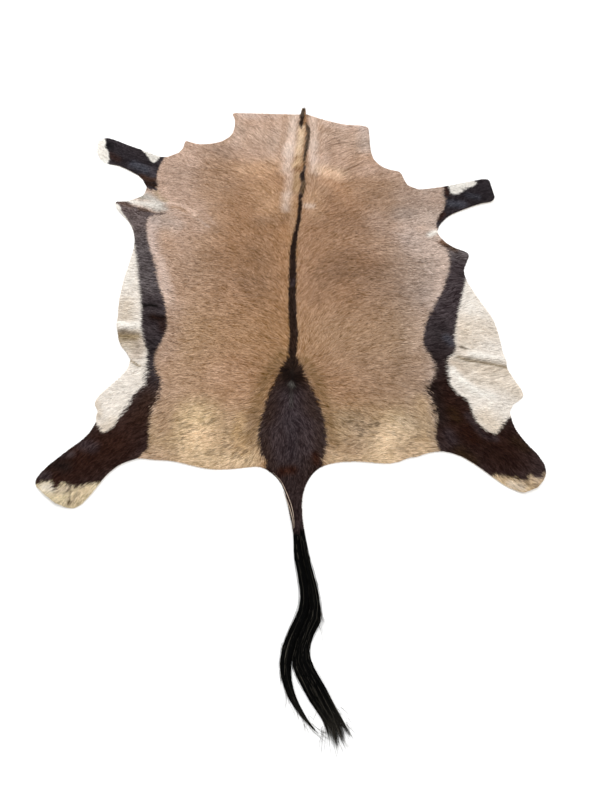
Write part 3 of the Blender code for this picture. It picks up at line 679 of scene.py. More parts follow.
# %% Pale grounds and their strokes
# The grounds begin under the dark hair, so they need no neat edge of their own.
GROUNDS = {
    "left belly": ([
        (-660, 280), (-600, 250), (-560, 190), (-520, 100), (-470, -150), (-425, -420), (-425, -500),
        (-450, -570), (-500, -660), (-600, -660), (-660, -600),
    ], CREAM * 0.98),
    "right belly": ([
        (580, -30), (550, -100), (520, -170), (490, -250), (470, -330), (460, -460), (470, -530),
        (500, -600), (530, -670), (600, -680), (700, -640), (760, -500), (700, -100),
    ], CREAM * 0.93),
    "left foot": ([(-760, -770), (-480, -770), (-480, -960), (-760, -960)], FOOT_CREAM),
    "right foot": ([(500, -745), (800, -720), (800, -900), (500, -900)], FOOT_TAN),
    "left wrist": ([(-670, 640), (-670, 420), (-800, 420), (-800, 640)], WHITE_HAIR),
}
PALE_STROKES = [
    # The left belly: a fold with a painted highlight on its crest and painted shade below it, and a small
    # crease with a painted dark line
    ([(-545, -20), (-545, -100)], 20, 0.6, WHITE_HAIR),
    ([(-535, -190), (-530, -240)], 26, 0.8, WARM_CREAM * 0.96),
    ([(-550, -272), (-520, -275), (-490, -276)], 13, 0.95, WHITE_HAIR),
    ([(-548, -333), (-518, -335), (-490, -345)], 24, 0.75, TAN_FOLD_SHADE),
    ([(-490, -320), (-466, -345), (-476, -385)], 20, 0.9, PALE_FOLD_SHADE * 0.88),
    ([(-550, -366), (-505, -380)], 16, 0.5, WARM_CREAM * 0.82),
    ([(-552, -309), (-520, -312), (-490, -314)], 17, 0.95, BROWN_SHADE_AND_FLECK),
    ([(-530, -296), (-505, -302)], 5, 0.6, FOLD_SHADE * 0.7),
    ([(-492, -404), (-476, -415), (-462, -426)], 4, 0.9, BROWN_SHADE_AND_FLECK),
    ([(-580, -535), (-560, -590)], 10, 0.6, WARM_CREAM),
    ([(-545, -640), (-520, -620)], 22, 0.7, WARM_CREAM),
    # The right belly: painted highlights on its ridges, each with a painted shadow line and soft painted
    # shade below it
    ([(570, -120), (590, -210)], 25, 0.3, WHITE_HAIR),
    ([(640, -180), (650, -240)], 35, 0.35, CREAM),
    ([(590, -270), (620, -300)], 30, 0.5, WARM_CREAM),
    ([(535, -260), (560, -330)], 30, 0.6, WARM_CREAM),
    ([(540, -290), (525, -345)], 16, 0.5, WARM_CREAM),
    ([(500, -365), (540, -380)], 14, 0.5, PALE_FOLD_SHADE),
    ([(548, -384), (590, -392), (655, -402)], 8, 0.8, WHITE_HAIR),
    ([(500, -408), (560, -425), (660, -440)], 18, 0.8, WARM_CREAM * 0.92),
    ([(480, -405), (500, -420), (530, -440)], 13, 0.7, PALE_FOLD_SHADE),
    ([(512, -390), (535, -400), (608, -416), (656, -428)], 4.5, 0.8, BROWN_SHADE_AND_FLECK),
    ([(580, -460), (640, -480), (680, -510)], 30, 0.6, WARM_CREAM),
    ([(490, -431), (499, -459), (546, -510), (600, -530)], 10, 0.85, WHITE_HAIR),
    ([(505, -420), (530, -455), (560, -480)], 10, 0.4, WARM_CREAM * 0.9),
    ([(565, -600), (590, -635)], 30, 0.8, WARM_CREAM),
    # A small dark fleck, in the brown of the painted fold shade made darker
    ([(527, -353), (539, -360)], 5, 0.95, BROWN_SHADE_AND_FLECK * 0.35),
    # The white hair of the armpits
    ([(-600, 300), (-555, 300), (-520, 287), (-470, 243)], 19, 0.95, GREY_WHITE * 0.82),
    ([(-620, 270), (-570, 262), (-503, 242), (-478, 232)], 13, 0.92, WHITE_HAIR * 0.95),
    ([(-490, 232), (-448, 221)], 6, 0.8, GREY_WHITE),
    # Painted shade in the fold of the white hair
    ([(-552, 290), (-538, 283)], 9, 0.7, ARMPIT_SHADE_GREY),
    ([(-498, 318), (-478, 286), (-452, 264)], 9, 0.50, OLIVE_SHADE),
    ([(460, 142), (444, 134)], 14, 0.6, PALE_PINK),
    ([(512, 98), (492, 92)], 10, 0.8, GREY_PINK * 1.10),
    ([(510, 126), (490, 114), (474, 105)], 9, 0.95, WHITE_HAIR),
    # The feet
    ([(-672, -810), (-655, -812)], 14, 0.7, CREAM),
    ([(-560, -820), (-590, -850)], 16, 0.4, STRAW),
    ([(-630, -822), (-610, -815)], 12, 0.4, GREY_PINK),
    ([(-598, -858), (-598, -850)], 4, 0.95, FLECK_BROWN),
    ([(605, -800), (635, -812)], 10, 0.4, CREAM),
    ([(650, -796), (651, -803)], 6, 0.8, FLECK_BROWN * 1.6),
    ([(667, -811), (674, -806)], 6, 0.6, FLECK_BROWN * 2.0),
    ([(690, -770), (680, -785)], 14, 0.5, GREY_PINK),
]
print(len(GROUNDS), "grounds and", len(PALE_STROKES), "strokes on them")

# %% Strokes on the dark hair
DARK_STROKES = [
    # The left band, from the armpit to the hind leg. Its brown-grey and grey are partly its own colour and
    # partly painted sheen
    ([(-620, 260), (-540, 190), (-525, 100)], 60, 1.0, BAND_BROWN * 0.92),
    ([(-525, 120), (-518, 80)], 25, 0.85, BAND_BROWN * 0.66),
    ([(-525, 60), (-500, -40), (-480, -130)], 45, 0.95, BAND_GREY),
    ([(-612, 255), (-575, 243)], 10, 0.6, BAND_TOP_BROWN),
    ([(-545, 231), (-503, 219), (-460, 209)], 6, 0.9, BAND_TOP_BROWN * 0.75),
    ([(-460, -190), (-440, -260), (-430, -360)], 45, 0.95, BAND_DARK * 0.85),
    # Painted shade in the band's two creases
    ([(-482, -200), (-460, -192), (-437, -197)], 8, 0.95, BAND_BLACK * 0.3),
    ([(-444, -238), (-426, -244), (-403, -244)], 12, 0.95, RUST * 0.2),
    ([(-410, -265), (-402, -290)], 12, 0.7, HIND_BROWN),
    ([(-430, -340), (-430, -400)], 26, 0.9, BAND_DARK * 0.50),
    ([(-430, -420), (-420, -470)], 26, 0.8, BAND_DARK * 0.75),
    ([(-420, -540), (-440, -600)], 50, 0.9, CROUP_EDGE),
    ([(-500, -680), (-660, -770)], 120, 1.0, HIND_BROWN),
    ([(-660, -742), (-626, -752)], 20, 0.7, BAND_BLACK * 0.6),
    # Painted grey sheen on the hind leg
    ([(-593, -679), (-560, -692)], 16, 0.6, DARK_HAIR_SHEEN),
    ([(-645, -714), (-618, -712)], 10, 0.6, BAND_DARK),
    ([(-695, -772), (-675, -780)], 13, 0.7, BAND_DARK),
    # The right band; its grey is partly its own colour and partly painted sheen
    ([(500, 90), (580, 20)], 50, 1.0, BAND_GREY * 1.12),
    ([(560, -50), (530, -120), (490, -220)], 50, 1.0, BAND_DARK * 1.16),
    ([(503, 83), (530, 60), (555, 45)], 14, 0.9, BAND_TOP_BROWN * 0.75),
    ([(500, 80), (520, 75)], 13, 0.85, BAND_TOP_BROWN * 2.2),
    ([(470, -300), (460, -370)], 50, 0.9, BAND_DARK * 0.58),
    # Painted bluish sheen
    ([(486, -320), (500, -340)], 12, 0.7, BLUE_SHEEN),
    ([(455, -410), (455, -480)], 30, 0.9, BAND_DARK * 0.50),
    ([(460, -560), (600, -700)], 130, 1.0, HIND_BROWN * 0.80),
    ([(420, -500), (435, -600)], 22, 0.7, BAND_BLACK * 0.9),
    ([(472, -576), (480, -602)], 14, 0.6, EARTH_BROWN),
    # Painted grey sheen on the hind leg
    ([(516, -589), (552, -651), (585, -664)], 10, 0.55, DARK_HAIR_SHEEN * 0.8),
    ([(462, -671), (452, -648)], 14, 0.6, DARK_HAIR_SHEEN * 0.9),
    ([(506, -640), (520, -668)], 17, 0.8, RUST * 0.35),
    ([(480, -712), (502, -736)], 22, 0.8, EARTH_BROWN),
    ([(566, -700), (605, -724)], 22, 0.7, HIND_BROWN * 0.55),
    ([(640, -670), (668, -690)], 16, 0.6, EARTH_BROWN * 0.8),
    # The forelegs
    ([(-500, 400), (-600, 470), (-720, 570)], 90, 1.0, LEG_BLACK * 1.38),
    ([(-690, 505), (-655, 480)], 13, 0.7, HIND_BROWN),
    ([(-706, 562), (-692, 548)], 14, 0.9, LEG_BLACK * 0.4),
    # Painted bluish sheen on the foreleg
    ([(-595, 457), (-545, 430)], 15, 0.9, BLUE_SHEEN),
    ([(-520, 430), (-512, 400)], 12, 0.8, LEG_GREY),
    ([(-560, 395), (-525, 378), (-505, 378)], 10, 0.8, CROUP_EDGE * 1.8),
    ([(-535, 360), (-512, 352), (-490, 348)], 10, 0.9, CROUP_EDGE * 0.7),
    ([(530, 250), (700, 320)], 100, 1.0, LEG_BLACK * 1.18),
    # Painted bluish sheen on the foreleg, in two strokes
    ([(562, 255), (606, 250)], 14, 0.9, BLUE_SHEEN * 0.9),
    ([(630, 290), (665, 283)], 11, 0.6, BLUE_SHEEN * 0.8),
    ([(556, 340), (558, 300)], 10, 0.8, HIND_BROWN),
    ([(512, 185), (530, 207)], 11, 0.8, HIND_BROWN * 1.3),
    # The mane's tips and the line of the back
    ([(50, 720), (56, 600), (46, 460)], 30, 1.0, MANE_TIPS),
    ([(40, 800), (38, 740)], 30, 1.0, MANE_TIPS * 0.8),
    ([(50, 745), (47, 722)], 6, 0.5, MANE_TIPS * 2.0),
    ([(31, 718), (32, 680)], 10, 0.9, SPINE_BROWN),
    ([(38, 405), (36, 375)], 14, 0.9, SPINE_BROWN),
    ([(42, 355), (36, 312)], 12, 0.9, HALO_BROWN * 0.45),
    ([(28, 290), (28, 240)], 12, 0.9, SPINE_BROWN * 1.6),
    ([(26, 240), (3, 30), (1, -200), (5, -360)], 35, 1.0, SPINE_BROWN),
    # A spot of painted grey sheen on the line
    ([(2, -90), (2, -110)], 7, 0.6, DARK_HAIR_SHEEN),
    # The croup: reddish rims round a middle of painted grey sheen, a black whorl with painted sheen on and
    # below it, and the brown tail
    ([(0, -420), (0, -750)], 110, 1.0, CROUP_EDGE * 0.90),
    ([(0, -390), (0, -490)], 30, 0.85, SPINE_BROWN * 0.7),
    ([(0, -530), (3, -600)], 38, 0.95, DARK_HAIR_SHEEN * 0.86),
    ([(3, -620), (5, -730)], 38, 0.95, DARK_HAIR_SHEEN * 0.74),
    ([(-50, -640), (-30, -720)], 18, 0.5, DARK_HAIR_SHEEN),
    ([(55, -620), (50, -700)], 18, 0.5, DARK_HAIR_SHEEN),
    ([(0, -510), (2, -560)], 6, 0.35, SHEEN_GREY),
    ([(0, -465), (2, -495)], 22, 0.7, WHORL_BLACK),
    ([(-20, -440), (0, -468), (15, -455)], 13, 0.9, WHORL_BLACK),
    ([(0, -486), (4, -490)], 8, 0.8, SHEEN_GREY),
    ([(0, -800), (20, -960)], 60, 1.0, TAIL_BROWN),
    ([(-23, -764), (6, -760)], 12, 0.8, RUST * 0.6),
    ([(70, -715), (74, -735)], 10, 0.8, RUST * 0.6),
]
print(len(DARK_STROKES), "strokes on the dark hair")

# %% Painting
LIGHT_LIFT = 1.11           # lying hair shades itself, so its own colour is lighter than it looks
BRUSH_STEP = 0.010          # the finest step of a stroke's line


def in_metres(rows):
    """Strokes from rows in millimetres."""
    strokes = []
    for places, reach, share, colour in rows:
        strokes.append(Stroke(np.array(places) / 1000, reach / 1000, share, colour))
    return strokes


def brushed(points, colours, strokes):
    """The colours with soft strokes laid over them, in their order."""
    for stroke in strokes:
        line = smooth_curve(stroke.places, max(stroke.reach, BRUSH_STEP))
        low, high = line.min(axis=0) - 2 * stroke.reach, line.max(axis=0) + 2 * stroke.reach
        near = ((points > low) & (points < high)).all(axis=1)
        gap = near_line(points[near], line)[0]
        share = stroke.share * (1.0 - smooth_step(0.0, 2.0 * stroke.reach, gap))[:, None]
        colours[near] = colours[near] * (1.0 - share) + stroke.colour * share
    return colours


def flank_colour(points):
    """The light coat's tone from the back to the flank, which is cooler on the right side."""
    away = points[:, 0] - spine_x(points[:, 1])
    sides = []
    for flank in (LEFT_FLANK, RIGHT_FLANK):
        stops, colours = zip(*flank)
        parts = [np.interp(np.abs(away), stops, part) for part in np.array(colours).T]
        sides.append(np.column_stack(parts))
    return np.where(away[:, None] < 0, sides[0], sides[1])


coat_strokes = [*in_metres(NECK_STROKES), *in_metres(FLANK_STROKES), back_halo, *in_metres(RUMP_STROKES)]
tone_strokes = in_metres((places, reach, 1.0, toned(*facts)) for places, reach, *facts in TONES)
light_plan = LIGHT_LIFT * brushed(fine.places, flank_colour(fine.places), coat_strokes)
light_plan = light_plan * brushed(fine.places, np.ones((len(fine.places), 3)), tone_strokes)
for outline, ground in GROUNDS.values():
    light_plan[inward(fine.places, np.array(outline) / 1000) > 0] = ground
light_plan = brushed(fine.places, light_plan, in_metres(PALE_STROKES))
dark_plan = brushed(fine.places, np.tile(BAND_DARK, (len(fine.places), 1)), in_metres(DARK_STROKES))
print("light hair from", light_plan.min().round(3), "to", light_plan.max().round(3))

# %% [markdown]
# ## Marks
# Each outline runs a little past the hide's own edge where the mark reaches it, so that the edge decides. The
# fringe says how ragged the mark's edge is: a hair changes sides by chance when it lies within about that
# distance of the line. Some stretches are fuzzier. How deep each square of the plan lies in a mark is kept in
# fringes, for any hair to read. These tables are in millimetres too.

# %% Marks
Mark = namedtuple("Mark", "outline fringe")
DARK_MARKS = {
    "left band": Mark([
        (-634, 258), (-590, 264), (-571, 245), (-549, 236), (-527, 232), (-506, 221), (-485, 211),
        (-454, 207), (-482, 201), (-504, 194), (-511, 168), (-505, 120), (-492, 70), (-475, 20),
        (-459, -30), (-443, -85), (-428, -135), (-406, -195), (-400, -235), (-393, -275), (-405, -335),
        (-418, -385), (-412, -430), (-391, -480), (-392, -530), (-409, -585), (-406, -650), (-402, -690),
        (-432, -730), (-500, -815), (-525, -798), (-552, -801), (-583, -810), (-604, -812), (-624, -799),
        (-636, -816), (-648, -825), (-655, -799), (-674, -794), (-700, -800), (-740, -790), (-700, -730),
        (-620, -655), (-580, -600), (-556, -628), (-537, -645), (-515, -628), (-494, -587), (-467, -528),
        (-442, -488), (-438, -430), (-446, -370), (-461, -325), (-475, -270), (-483, -200), (-494, -145),
        (-506, -90), (-518, -30), (-532, 30), (-545, 85), (-560, 145), (-588, 192), (-612, 215),
    ], 3.2),
    "right band": Mark([
        (496, 77), (512, 83), (530, 90), (560, 82), (600, 55), (625, 10), (600, -35), (588, -60),
        (574, -90), (558, -145), (542, -195), (527, -250), (511, -312), (507, -365), (485, -395),
        (476, -430), (477, -470), (489, -510), (522, -541), (535, -600), (558, -633), (590, -649),
        (612, -623), (638, -597), (670, -600), (710, -670), (745, -740), (735, -762), (708, -768),
        (694, -788), (669, -778), (655, -784), (645, -794), (628, -791), (600, -782), (575, -777),
        (550, -785), (530, -805), (490, -778), (446, -745), (424, -703), (414, -665), (420, -605),
        (420, -560), (410, -530), (404, -500), (418, -478), (434, -456), (438, -412), (420, -374),
        (410, -342), (418, -290), (440, -232), (477, -165), (499, -118), (515, -75), (530, -25), (532, 5),
        (530, 34), (524, 46), (513, 59),
    ], 3.2),
    "left foreleg": Mark([
        (-474, 522), (-482, 494), (-491, 471), (-498, 445), (-502, 415), (-500, 387), (-495, 362),
        (-490, 338), (-496, 323), (-515, 325), (-535, 337), (-575, 375), (-640, 430), (-688, 450),
        (-690, 484), (-695, 514), (-702, 531), (-714, 552), (-715, 577), (-727, 604), (-718, 625),
        (-640, 592), (-560, 556), (-510, 530),
    ], 2.4),
    "right foreleg": Mark([
        (549, 365), (550, 325), (545, 292), (547, 266), (538, 231), (524, 209), (514, 190), (505, 163),
        (503, 146), (522, 128), (566, 172), (626, 210), (706, 228), (770, 250), (770, 400), (660, 392),
        (600, 372),
    ], 3),
    "croup and tail": Mark([
        (4, -372), (-22, -410), (-45, -455), (-64, -510), (-82, -575), (-92, -640), (-90, -692),
        (-80, -719), (-69, -738), (-78, -765), (-90, -800), (-30, -880), (-10, -965), (60, -965),
        (60, -870), (90, -790), (91, -742), (102, -690), (102, -640), (94, -585), (79, -537), (56, -480),
        (30, -412),
    ], 4.5),
}
PALE_MARKS = {
    "left foreleg patch": (Mark([
        (-575, 550), (-500, 525), (-501, 497), (-507, 485), (-518, 468), (-529, 472), (-542, 491),
        (-554, 511),
    ], 2), WHITE_HAIR * 0.88),
    "right foreleg patch": (Mark([
        (570, 350), (573, 309), (586, 296), (609, 305), (624, 321), (638, 333), (656, 340), (672, 358),
        (665, 376), (660, 392), (590, 372),
    ], 2.5), WHITE_HAIR * 0.86),
    "flap edge": (Mark([
        (-665, 262), (-636, 252), (-616, 240), (-603, 212), (-585, 181), (-600, 168), (-655, 205),
    ], 2), WHITE_HAIR),
}
LINE_FRINGE = 0.0024
MARK_STEP = 0.012
MARK_ROOM = 0.030
FUZZY = [     # x, y, reach, and by how many times the fringe is wider there
    (-400, -490, 40, 1.6), (-412, -560, 40, 1.6), (-445, -445, 35, 1.0), (408, -505, 40, 2.4),
    (425, -580, 45, 1.6), (480, -430, 40, 0.6), (510, -530, 50, 0.9), (430, -390, 50, 0.7),
    (-480, -560, 50, 0.8), (545, 290, 60, 0.7), (-515, 335, 30, 1.8), (630, 340, 40, 0.9),
    (-600, -810, 90, 0.9), (640, -785, 90, 0.9), (-480, 20, 80, 0.4), (-440, -90, 60, 0.5),
    (55, 600, 70, 0.6), (540, 30, 60, 0.5), (-470, 205, 40, 0.8),
]


def spots(points, rows):
    """The sum of soft spots: each has its full amount at its place and falls to nothing over its reach."""
    total = 0
    for x, y, reach, amount in rows:
        gaps = ((points - (x / 1000, y / 1000)) ** 2).sum(axis=1)
        total = total + amount * np.exp(-gaps / (reach / 1000) ** 2)
    return total


fuzz = 1.0 + spots(fine.places, FUZZY)


def depth_near(curve, measure):
    """How deep each square lies in a mark, measured where the mark is near. It is negative outside."""
    low, high = curve[:, :2].min(axis=0) - MARK_ROOM, curve[:, :2].max(axis=0) + MARK_ROOM
    near = ((fine.places > low) & (fine.places < high)).all(axis=1)
    depth = np.full(len(fine.places), -MARK_ROOM)
    depth[near] = measure(fine.places[near], curve)
    return depth


def within_line(points, line):
    """How deep each point lies in a line whose third column is its half width."""
    gap, half_width = near_line(points, line)
    return half_width[:, 0] - gap


def mark_depth(mark):
    """How deep each square lies in an outline, in fringes."""
    outline = smooth_curve(np.array(mark.outline) / 1000, MARK_STEP, closed=True)
    return depth_near(outline, inward) / (mark.fringe / 1000 * fuzz)


def line_depth(line):
    """The same for a line."""
    return depth_near(smooth_curve(line, MARK_STEP), within_line) / (LINE_FRINGE * fuzz)


line_depths = [line_depth(SPINE_LINE), line_depth(MANE_WEDGE)]
dark_depth = np.max([mark_depth(mark) for mark in DARK_MARKS.values()] + line_depths, axis=0)
pale_depths = [(mark_depth(mark), colour) for mark, colour in PALE_MARKS.values()]
print("marks:", ", ".join([*DARK_MARKS, *PALE_MARKS]))

# %% [markdown]
# ## The way the hair grows
# On this hide the hair grows forward and outward from the back, like a herringbone: straight forward at the
# parting, and soon turned aside. On the neck the mane stands between two partings and leans over to the
# right. There is a whorl above the rump, and behind it the hair turns and runs down to the tail. On the legs
# it runs to the feet. The table gives the growth away from the back, on the right side, as an angle from the
# sideways direction. The left side mirrors it, except that on the neck its hair stands steeper than on the
# right.

# %% Growth
GROWTH = [     # x, y and the angle in degrees
    (0.10, 0.70, 40), (0.10, 0.52, 30), (0.10, 0.33, 24), (0.10, 0.13, 20), (0.10, -0.07, 20),
    (0.10, -0.26, 18), (0.10, -0.40, 12), (0.00, -0.46, 0), (0.22, 0.64, 38), (0.22, 0.46, 33),
    (0.22, 0.27, 23), (0.22, 0.07, 12), (0.22, -0.13, 10), (0.22, -0.32, 6), (0.20, -0.47, -4),
    (0.20, -0.60, -11), (0.20, -0.72, -16), (0.34, 0.50, 30), (0.35, 0.34, 22), (0.35, 0.15, 6),
    (0.34, -0.05, 4), (0.33, -0.25, 0), (0.32, -0.43, -6), (0.32, -0.58, -14), (0.33, -0.70, -20),
    (0.45, 0.30, 4), (0.46, 0.10, 0), (0.46, -0.12, -4), (0.44, -0.35, -8), (0.43, -0.52, -34),
    (0.55, -0.15, -8), (0.60, -0.30, -6), (0.60, -0.45, -8), (0.52, -0.45, -10), (0.66, -0.50, -12),
    (0.54, -0.56, -20), (0.48, -0.64, -44), (0.57, -0.72, -44), (0.67, -0.82, -42), (0.56, 0.02, -4),
    (0.60, 0.22, 20), (0.53, 0.25, 12), (0.67, 0.32, 16), (0.52, 0.45, 24), (0.62, 0.50, 30),
    (0.72, 0.56, 34), (0.46, 0.46, 16), (0.00, -0.53, -90), (0.05, -0.53, -50), (0.00, -0.68, -90),
    (0.07, -0.66, -72), (0.12, -0.56, -18), (0.12, -0.68, -28), (0.00, -0.80, -88), (0.00, -0.92, -84),
]
GROWTH_REACH = 0.060
FORWARD = math.radians(84)                  # the growth at the parting
SOON_ASIDE = 0.048                          # metres over which it turns aside
MANE_OPENS = (0.17, 0.30)                   # the two partings draw apart between these y
LEFT_PARTING, RIGHT_PARTING = 0.052, 0.030  # and this far from the line
MANE_LEAN = (math.radians(60), math.radians(100))   # the mane left of its line and right of it
TURNS = ((0.060, 8.0), (0.014, 7.0))        # soft swings of the growth: size in metres, degrees
RIGHT_NECK = 0.55                           # the share by which the right of the neck lies flatter
NECK_FROM = (0.30, 0.55)                    # the neck begins between these y
WHORL_AT = (-0.45, -0.40)                   # and the parting ends between these
CHANGES_SIDES = 0.006                       # metres from the line over which the growth takes its side
MANE_ENDS = 0.012                           # and from a parting over which the mane takes over
OUTWARD_BLUR = 0.004

opened = smooth_step(*MANE_OPENS, coarse.places[:, 1])
from_line = coarse.places[:, 0] - spine_x(coarse.places[:, 1])
parting = np.where(from_line < 0, LEFT_PARTING, RIGHT_PARTING) * opened
aside = np.clip(np.abs(from_line) - parting, 0.0, None)
growth = np.array(GROWTH)
angles = np.radians(growth[:, 2])
ways = np.column_stack([np.cos(angles), np.sin(angles)])
grown = blend_places(np.column_stack([aside, coarse.places[:, 1]]), growth[:, :2], GROWTH_REACH, ways)
turned = np.arctan2(grown[:, 1], grown[:, 0])
on_right_neck = np.where(from_line > 0, smooth_step(*NECK_FROM, coarse.places[:, 1]), 0.0)
turned = turned * (1.0 - RIGHT_NECK * on_right_neck)
forward_share = np.exp(-aside / SOON_ASIDE) * smooth_step(*WHORL_AT, coarse.places[:, 1])
turned = turned + forward_share * (FORWARD - turned)
grown = np.column_stack([np.cos(turned) * np.tanh(from_line / CHANGES_SIDES), np.sin(turned)])
in_mane = smooth_step(0.0, MANE_ENDS, parting - np.abs(from_line))[:, None]
lean = np.where(from_line < 0, *MANE_LEAN)
grown = grown * (1 - in_mane) + np.column_stack([np.cos(lean), np.sin(lean)]) * in_mane
turn = sum(math.radians(size) * coarse.unevenness(chance, reach) for reach, size in TURNS)
heading = np.arctan2(grown[:, 1], grown[:, 0]) + turn
growth_x, growth_y = np.cos(heading), np.sin(heading)
soft_room = coarse.blur(room, OUTWARD_BLUR).reshape(coarse.shape)
outward_x, outward_y = (-slope.ravel() for slope in np.gradient(soft_room, coarse.step))
print("hair grows by", len(GROWTH), "places")

# %% [markdown]
# ## Streaks
# Lying hair clumps into streaks, a few millimetres wide and a few centimetres long, that catch the light.
# Random specks drawn out along the growth give them: each square takes the sum of the specks that it would
# pass on a short walk with the hair and against it. The streaks are longer on the neck and shoulders.

# %% Streaks
# A speck has a size in metres, or none where it is a single square.
Streak = namedtuple("Streak", "share speck steps")
SHORT_STREAKS = [Streak(0.8, None, 3), Streak(0.6, 0.0028, 4)]
LONG_STREAKS = [Streak(0.6, None, 6), Streak(0.8, 0.0026, 11)]
LONG_FROM = (0.08, 0.40)    # the long ones come in between these y
FLECK_SIZE = 0.0016
CLOUD_SIZE = 0.018


def drawn_out(specks, steps):
    """Specks smeared along the growth, evened out to about 1 high."""
    total = specks.copy()
    for way in (1.0, -1.0):
        at = fine.places.copy()
        for _ in range(steps):
            step = np.column_stack([coarse.read(growth_x, at), coarse.read(growth_y, at)])
            at += way * fine.step * step
            total += fine.read(specks, at)
    return total / total.std()


def streak_layers(layers):
    """Streaks of several sizes, laid over each other."""
    total = np.zeros(len(fine.places))
    for layer in layers:
        if layer.speck is None:
            specks = chance.standard_normal(len(fine.places))
        else:
            specks = fine.unevenness(chance, layer.speck)
        total += layer.share * drawn_out(specks, layer.steps)
    return total


short = streak_layers(SHORT_STREAKS)
long = streak_layers(LONG_STREAKS)
streaks = short + smooth_step(*LONG_FROM, fine.places[:, 1]) * (long - short)
flecks = drawn_out(fine.unevenness(chance, FLECK_SIZE), 2)
clouds = fine.unevenness(chance, CLOUD_SIZE)
print("streaks from", round(streaks.min(), 1), "to", round(streaks.max(), 1))

# %% [markdown]
# ## The coat's colour at any point
# Light hair or dark, then the small pale marks. Streaks and clouds change the tone a little, more so in dark
# hair, and dark flecks stand in the straw hair of the rump and on the feet. Each hair has its own raggedness,
# which is by how many fringes it strays over a mark's edge, and its own tone. White hair is the most even.

# %% Coat colour
# The streaks' tone is partly the hair's own uneven colour and partly painted light and shade of its locks.
STREAK_TONE = 0.110
CLOUD_TONE = 0.035
HAIR_TONE = 0.20
DARK_TONE = 2.4             # how much stronger all these are in dark hair
# The lit and shaded hair of the next line is painted light and shade.
NEUTRAL = 0.38              # a lit hair grows paler and a shaded one richer, by this share
SOFT_EDGE = 0.0035          # metres by which a hair's colour may come from further along its lie
MOST_RAGGED = 2.5
FLECK_FROM = (0.2, 1.3)     # a speck shows as a fleck from this strength on, and is full at this
MOST_FLECKED = 0.9
QUIET = (1.40, 1.32)        # the tone varies by the first less the second times the hair's lightness
QUIETEST = 0.32
TONE_RANGE = (0.35, 1.8)
COLOUR_RANGE = (0.0015, 0.95)
FLECKED = [     # x, y and reach in millimetres, and the share of flecks
    (200, -630, 60, 0.70), (340, -670, 70, 0.50), (-270, -640, 100, 0.50), (-150, -700, 60, 0.45),
    (-610, -815, 35, 0.5), (-600, -845, 50, 0.25), (660, -790, 55, 0.55), (120, -710, 50, 0.35),
    (660, 355, 18, 0.60), (-475, -345, 25, 0.12), (505, -340, 20, 0.08),
]


def read_colour(plan, points):
    """A colour read from a plan of colours."""
    return np.column_stack([fine.read(plan[:, part], points) for part in range(3)])


def coat_colour(points, ragged, own_tone):
    """The colour of the hair that lies at each point."""
    lie = np.column_stack([coarse.read(growth_x, points), coarse.read(growth_y, points)])
    along = SOFT_EDGE * np.clip(ragged, -MOST_RAGGED, MOST_RAGGED)[:, None]
    colour = read_colour(light_plan, points + along * lie)
    amount = spots(points, FLECKED)
    strength = smooth_step(*FLECK_FROM, fine.read(flecks, points) + 0.7 * ragged)
    fleck = np.clip(amount, 0.0, MOST_FLECKED) * strength
    colour = colour + fleck[:, None] * (FLECK_BROWN - colour)
    dark = smooth_step(-1.0, 1.0, fine.read(dark_depth, points) + ragged)[:, None]
    colour = colour + dark * (read_colour(dark_plan, points) - colour)
    for depth, pale_colour in pale_depths:
        pale = smooth_step(-1.0, 1.0, fine.read(depth, points) + ragged)[:, None]
        colour = colour + pale * (pale_colour - colour)
        dark = dark * (1.0 - pale)
    tone = STREAK_TONE * fine.read(streaks, points) + CLOUD_TONE * fine.read(clouds, points)
    quiet = np.clip(QUIET[0] - QUIET[1] * colour.mean(axis=1), QUIETEST, 1.0)
    tone = 1.0 + (tone + HAIR_TONE * own_tone) * quiet * (1.0 + (DARK_TONE - 1.0) * dark[:, 0])
    grey = colour.mean(axis=1, keepdims=True)
    change = (np.clip(tone, *TONE_RANGE) - 1.0)[:, None]
    return np.clip(colour + change * (NEUTRAL * grey + (1.0 - NEUTRAL) * colour), *COLOUR_RANGE)


print("hair at the shoulder:", coat_colour(np.array([(-0.3, 0.4)]), np.zeros(1), np.zeros(1)).round(2))

# %% [markdown]
# ## Materials by node
# A material's pattern is a sum of nodes. One small class wraps a socket, so that sums are written as Python
# writes them, and one method adds any other node.

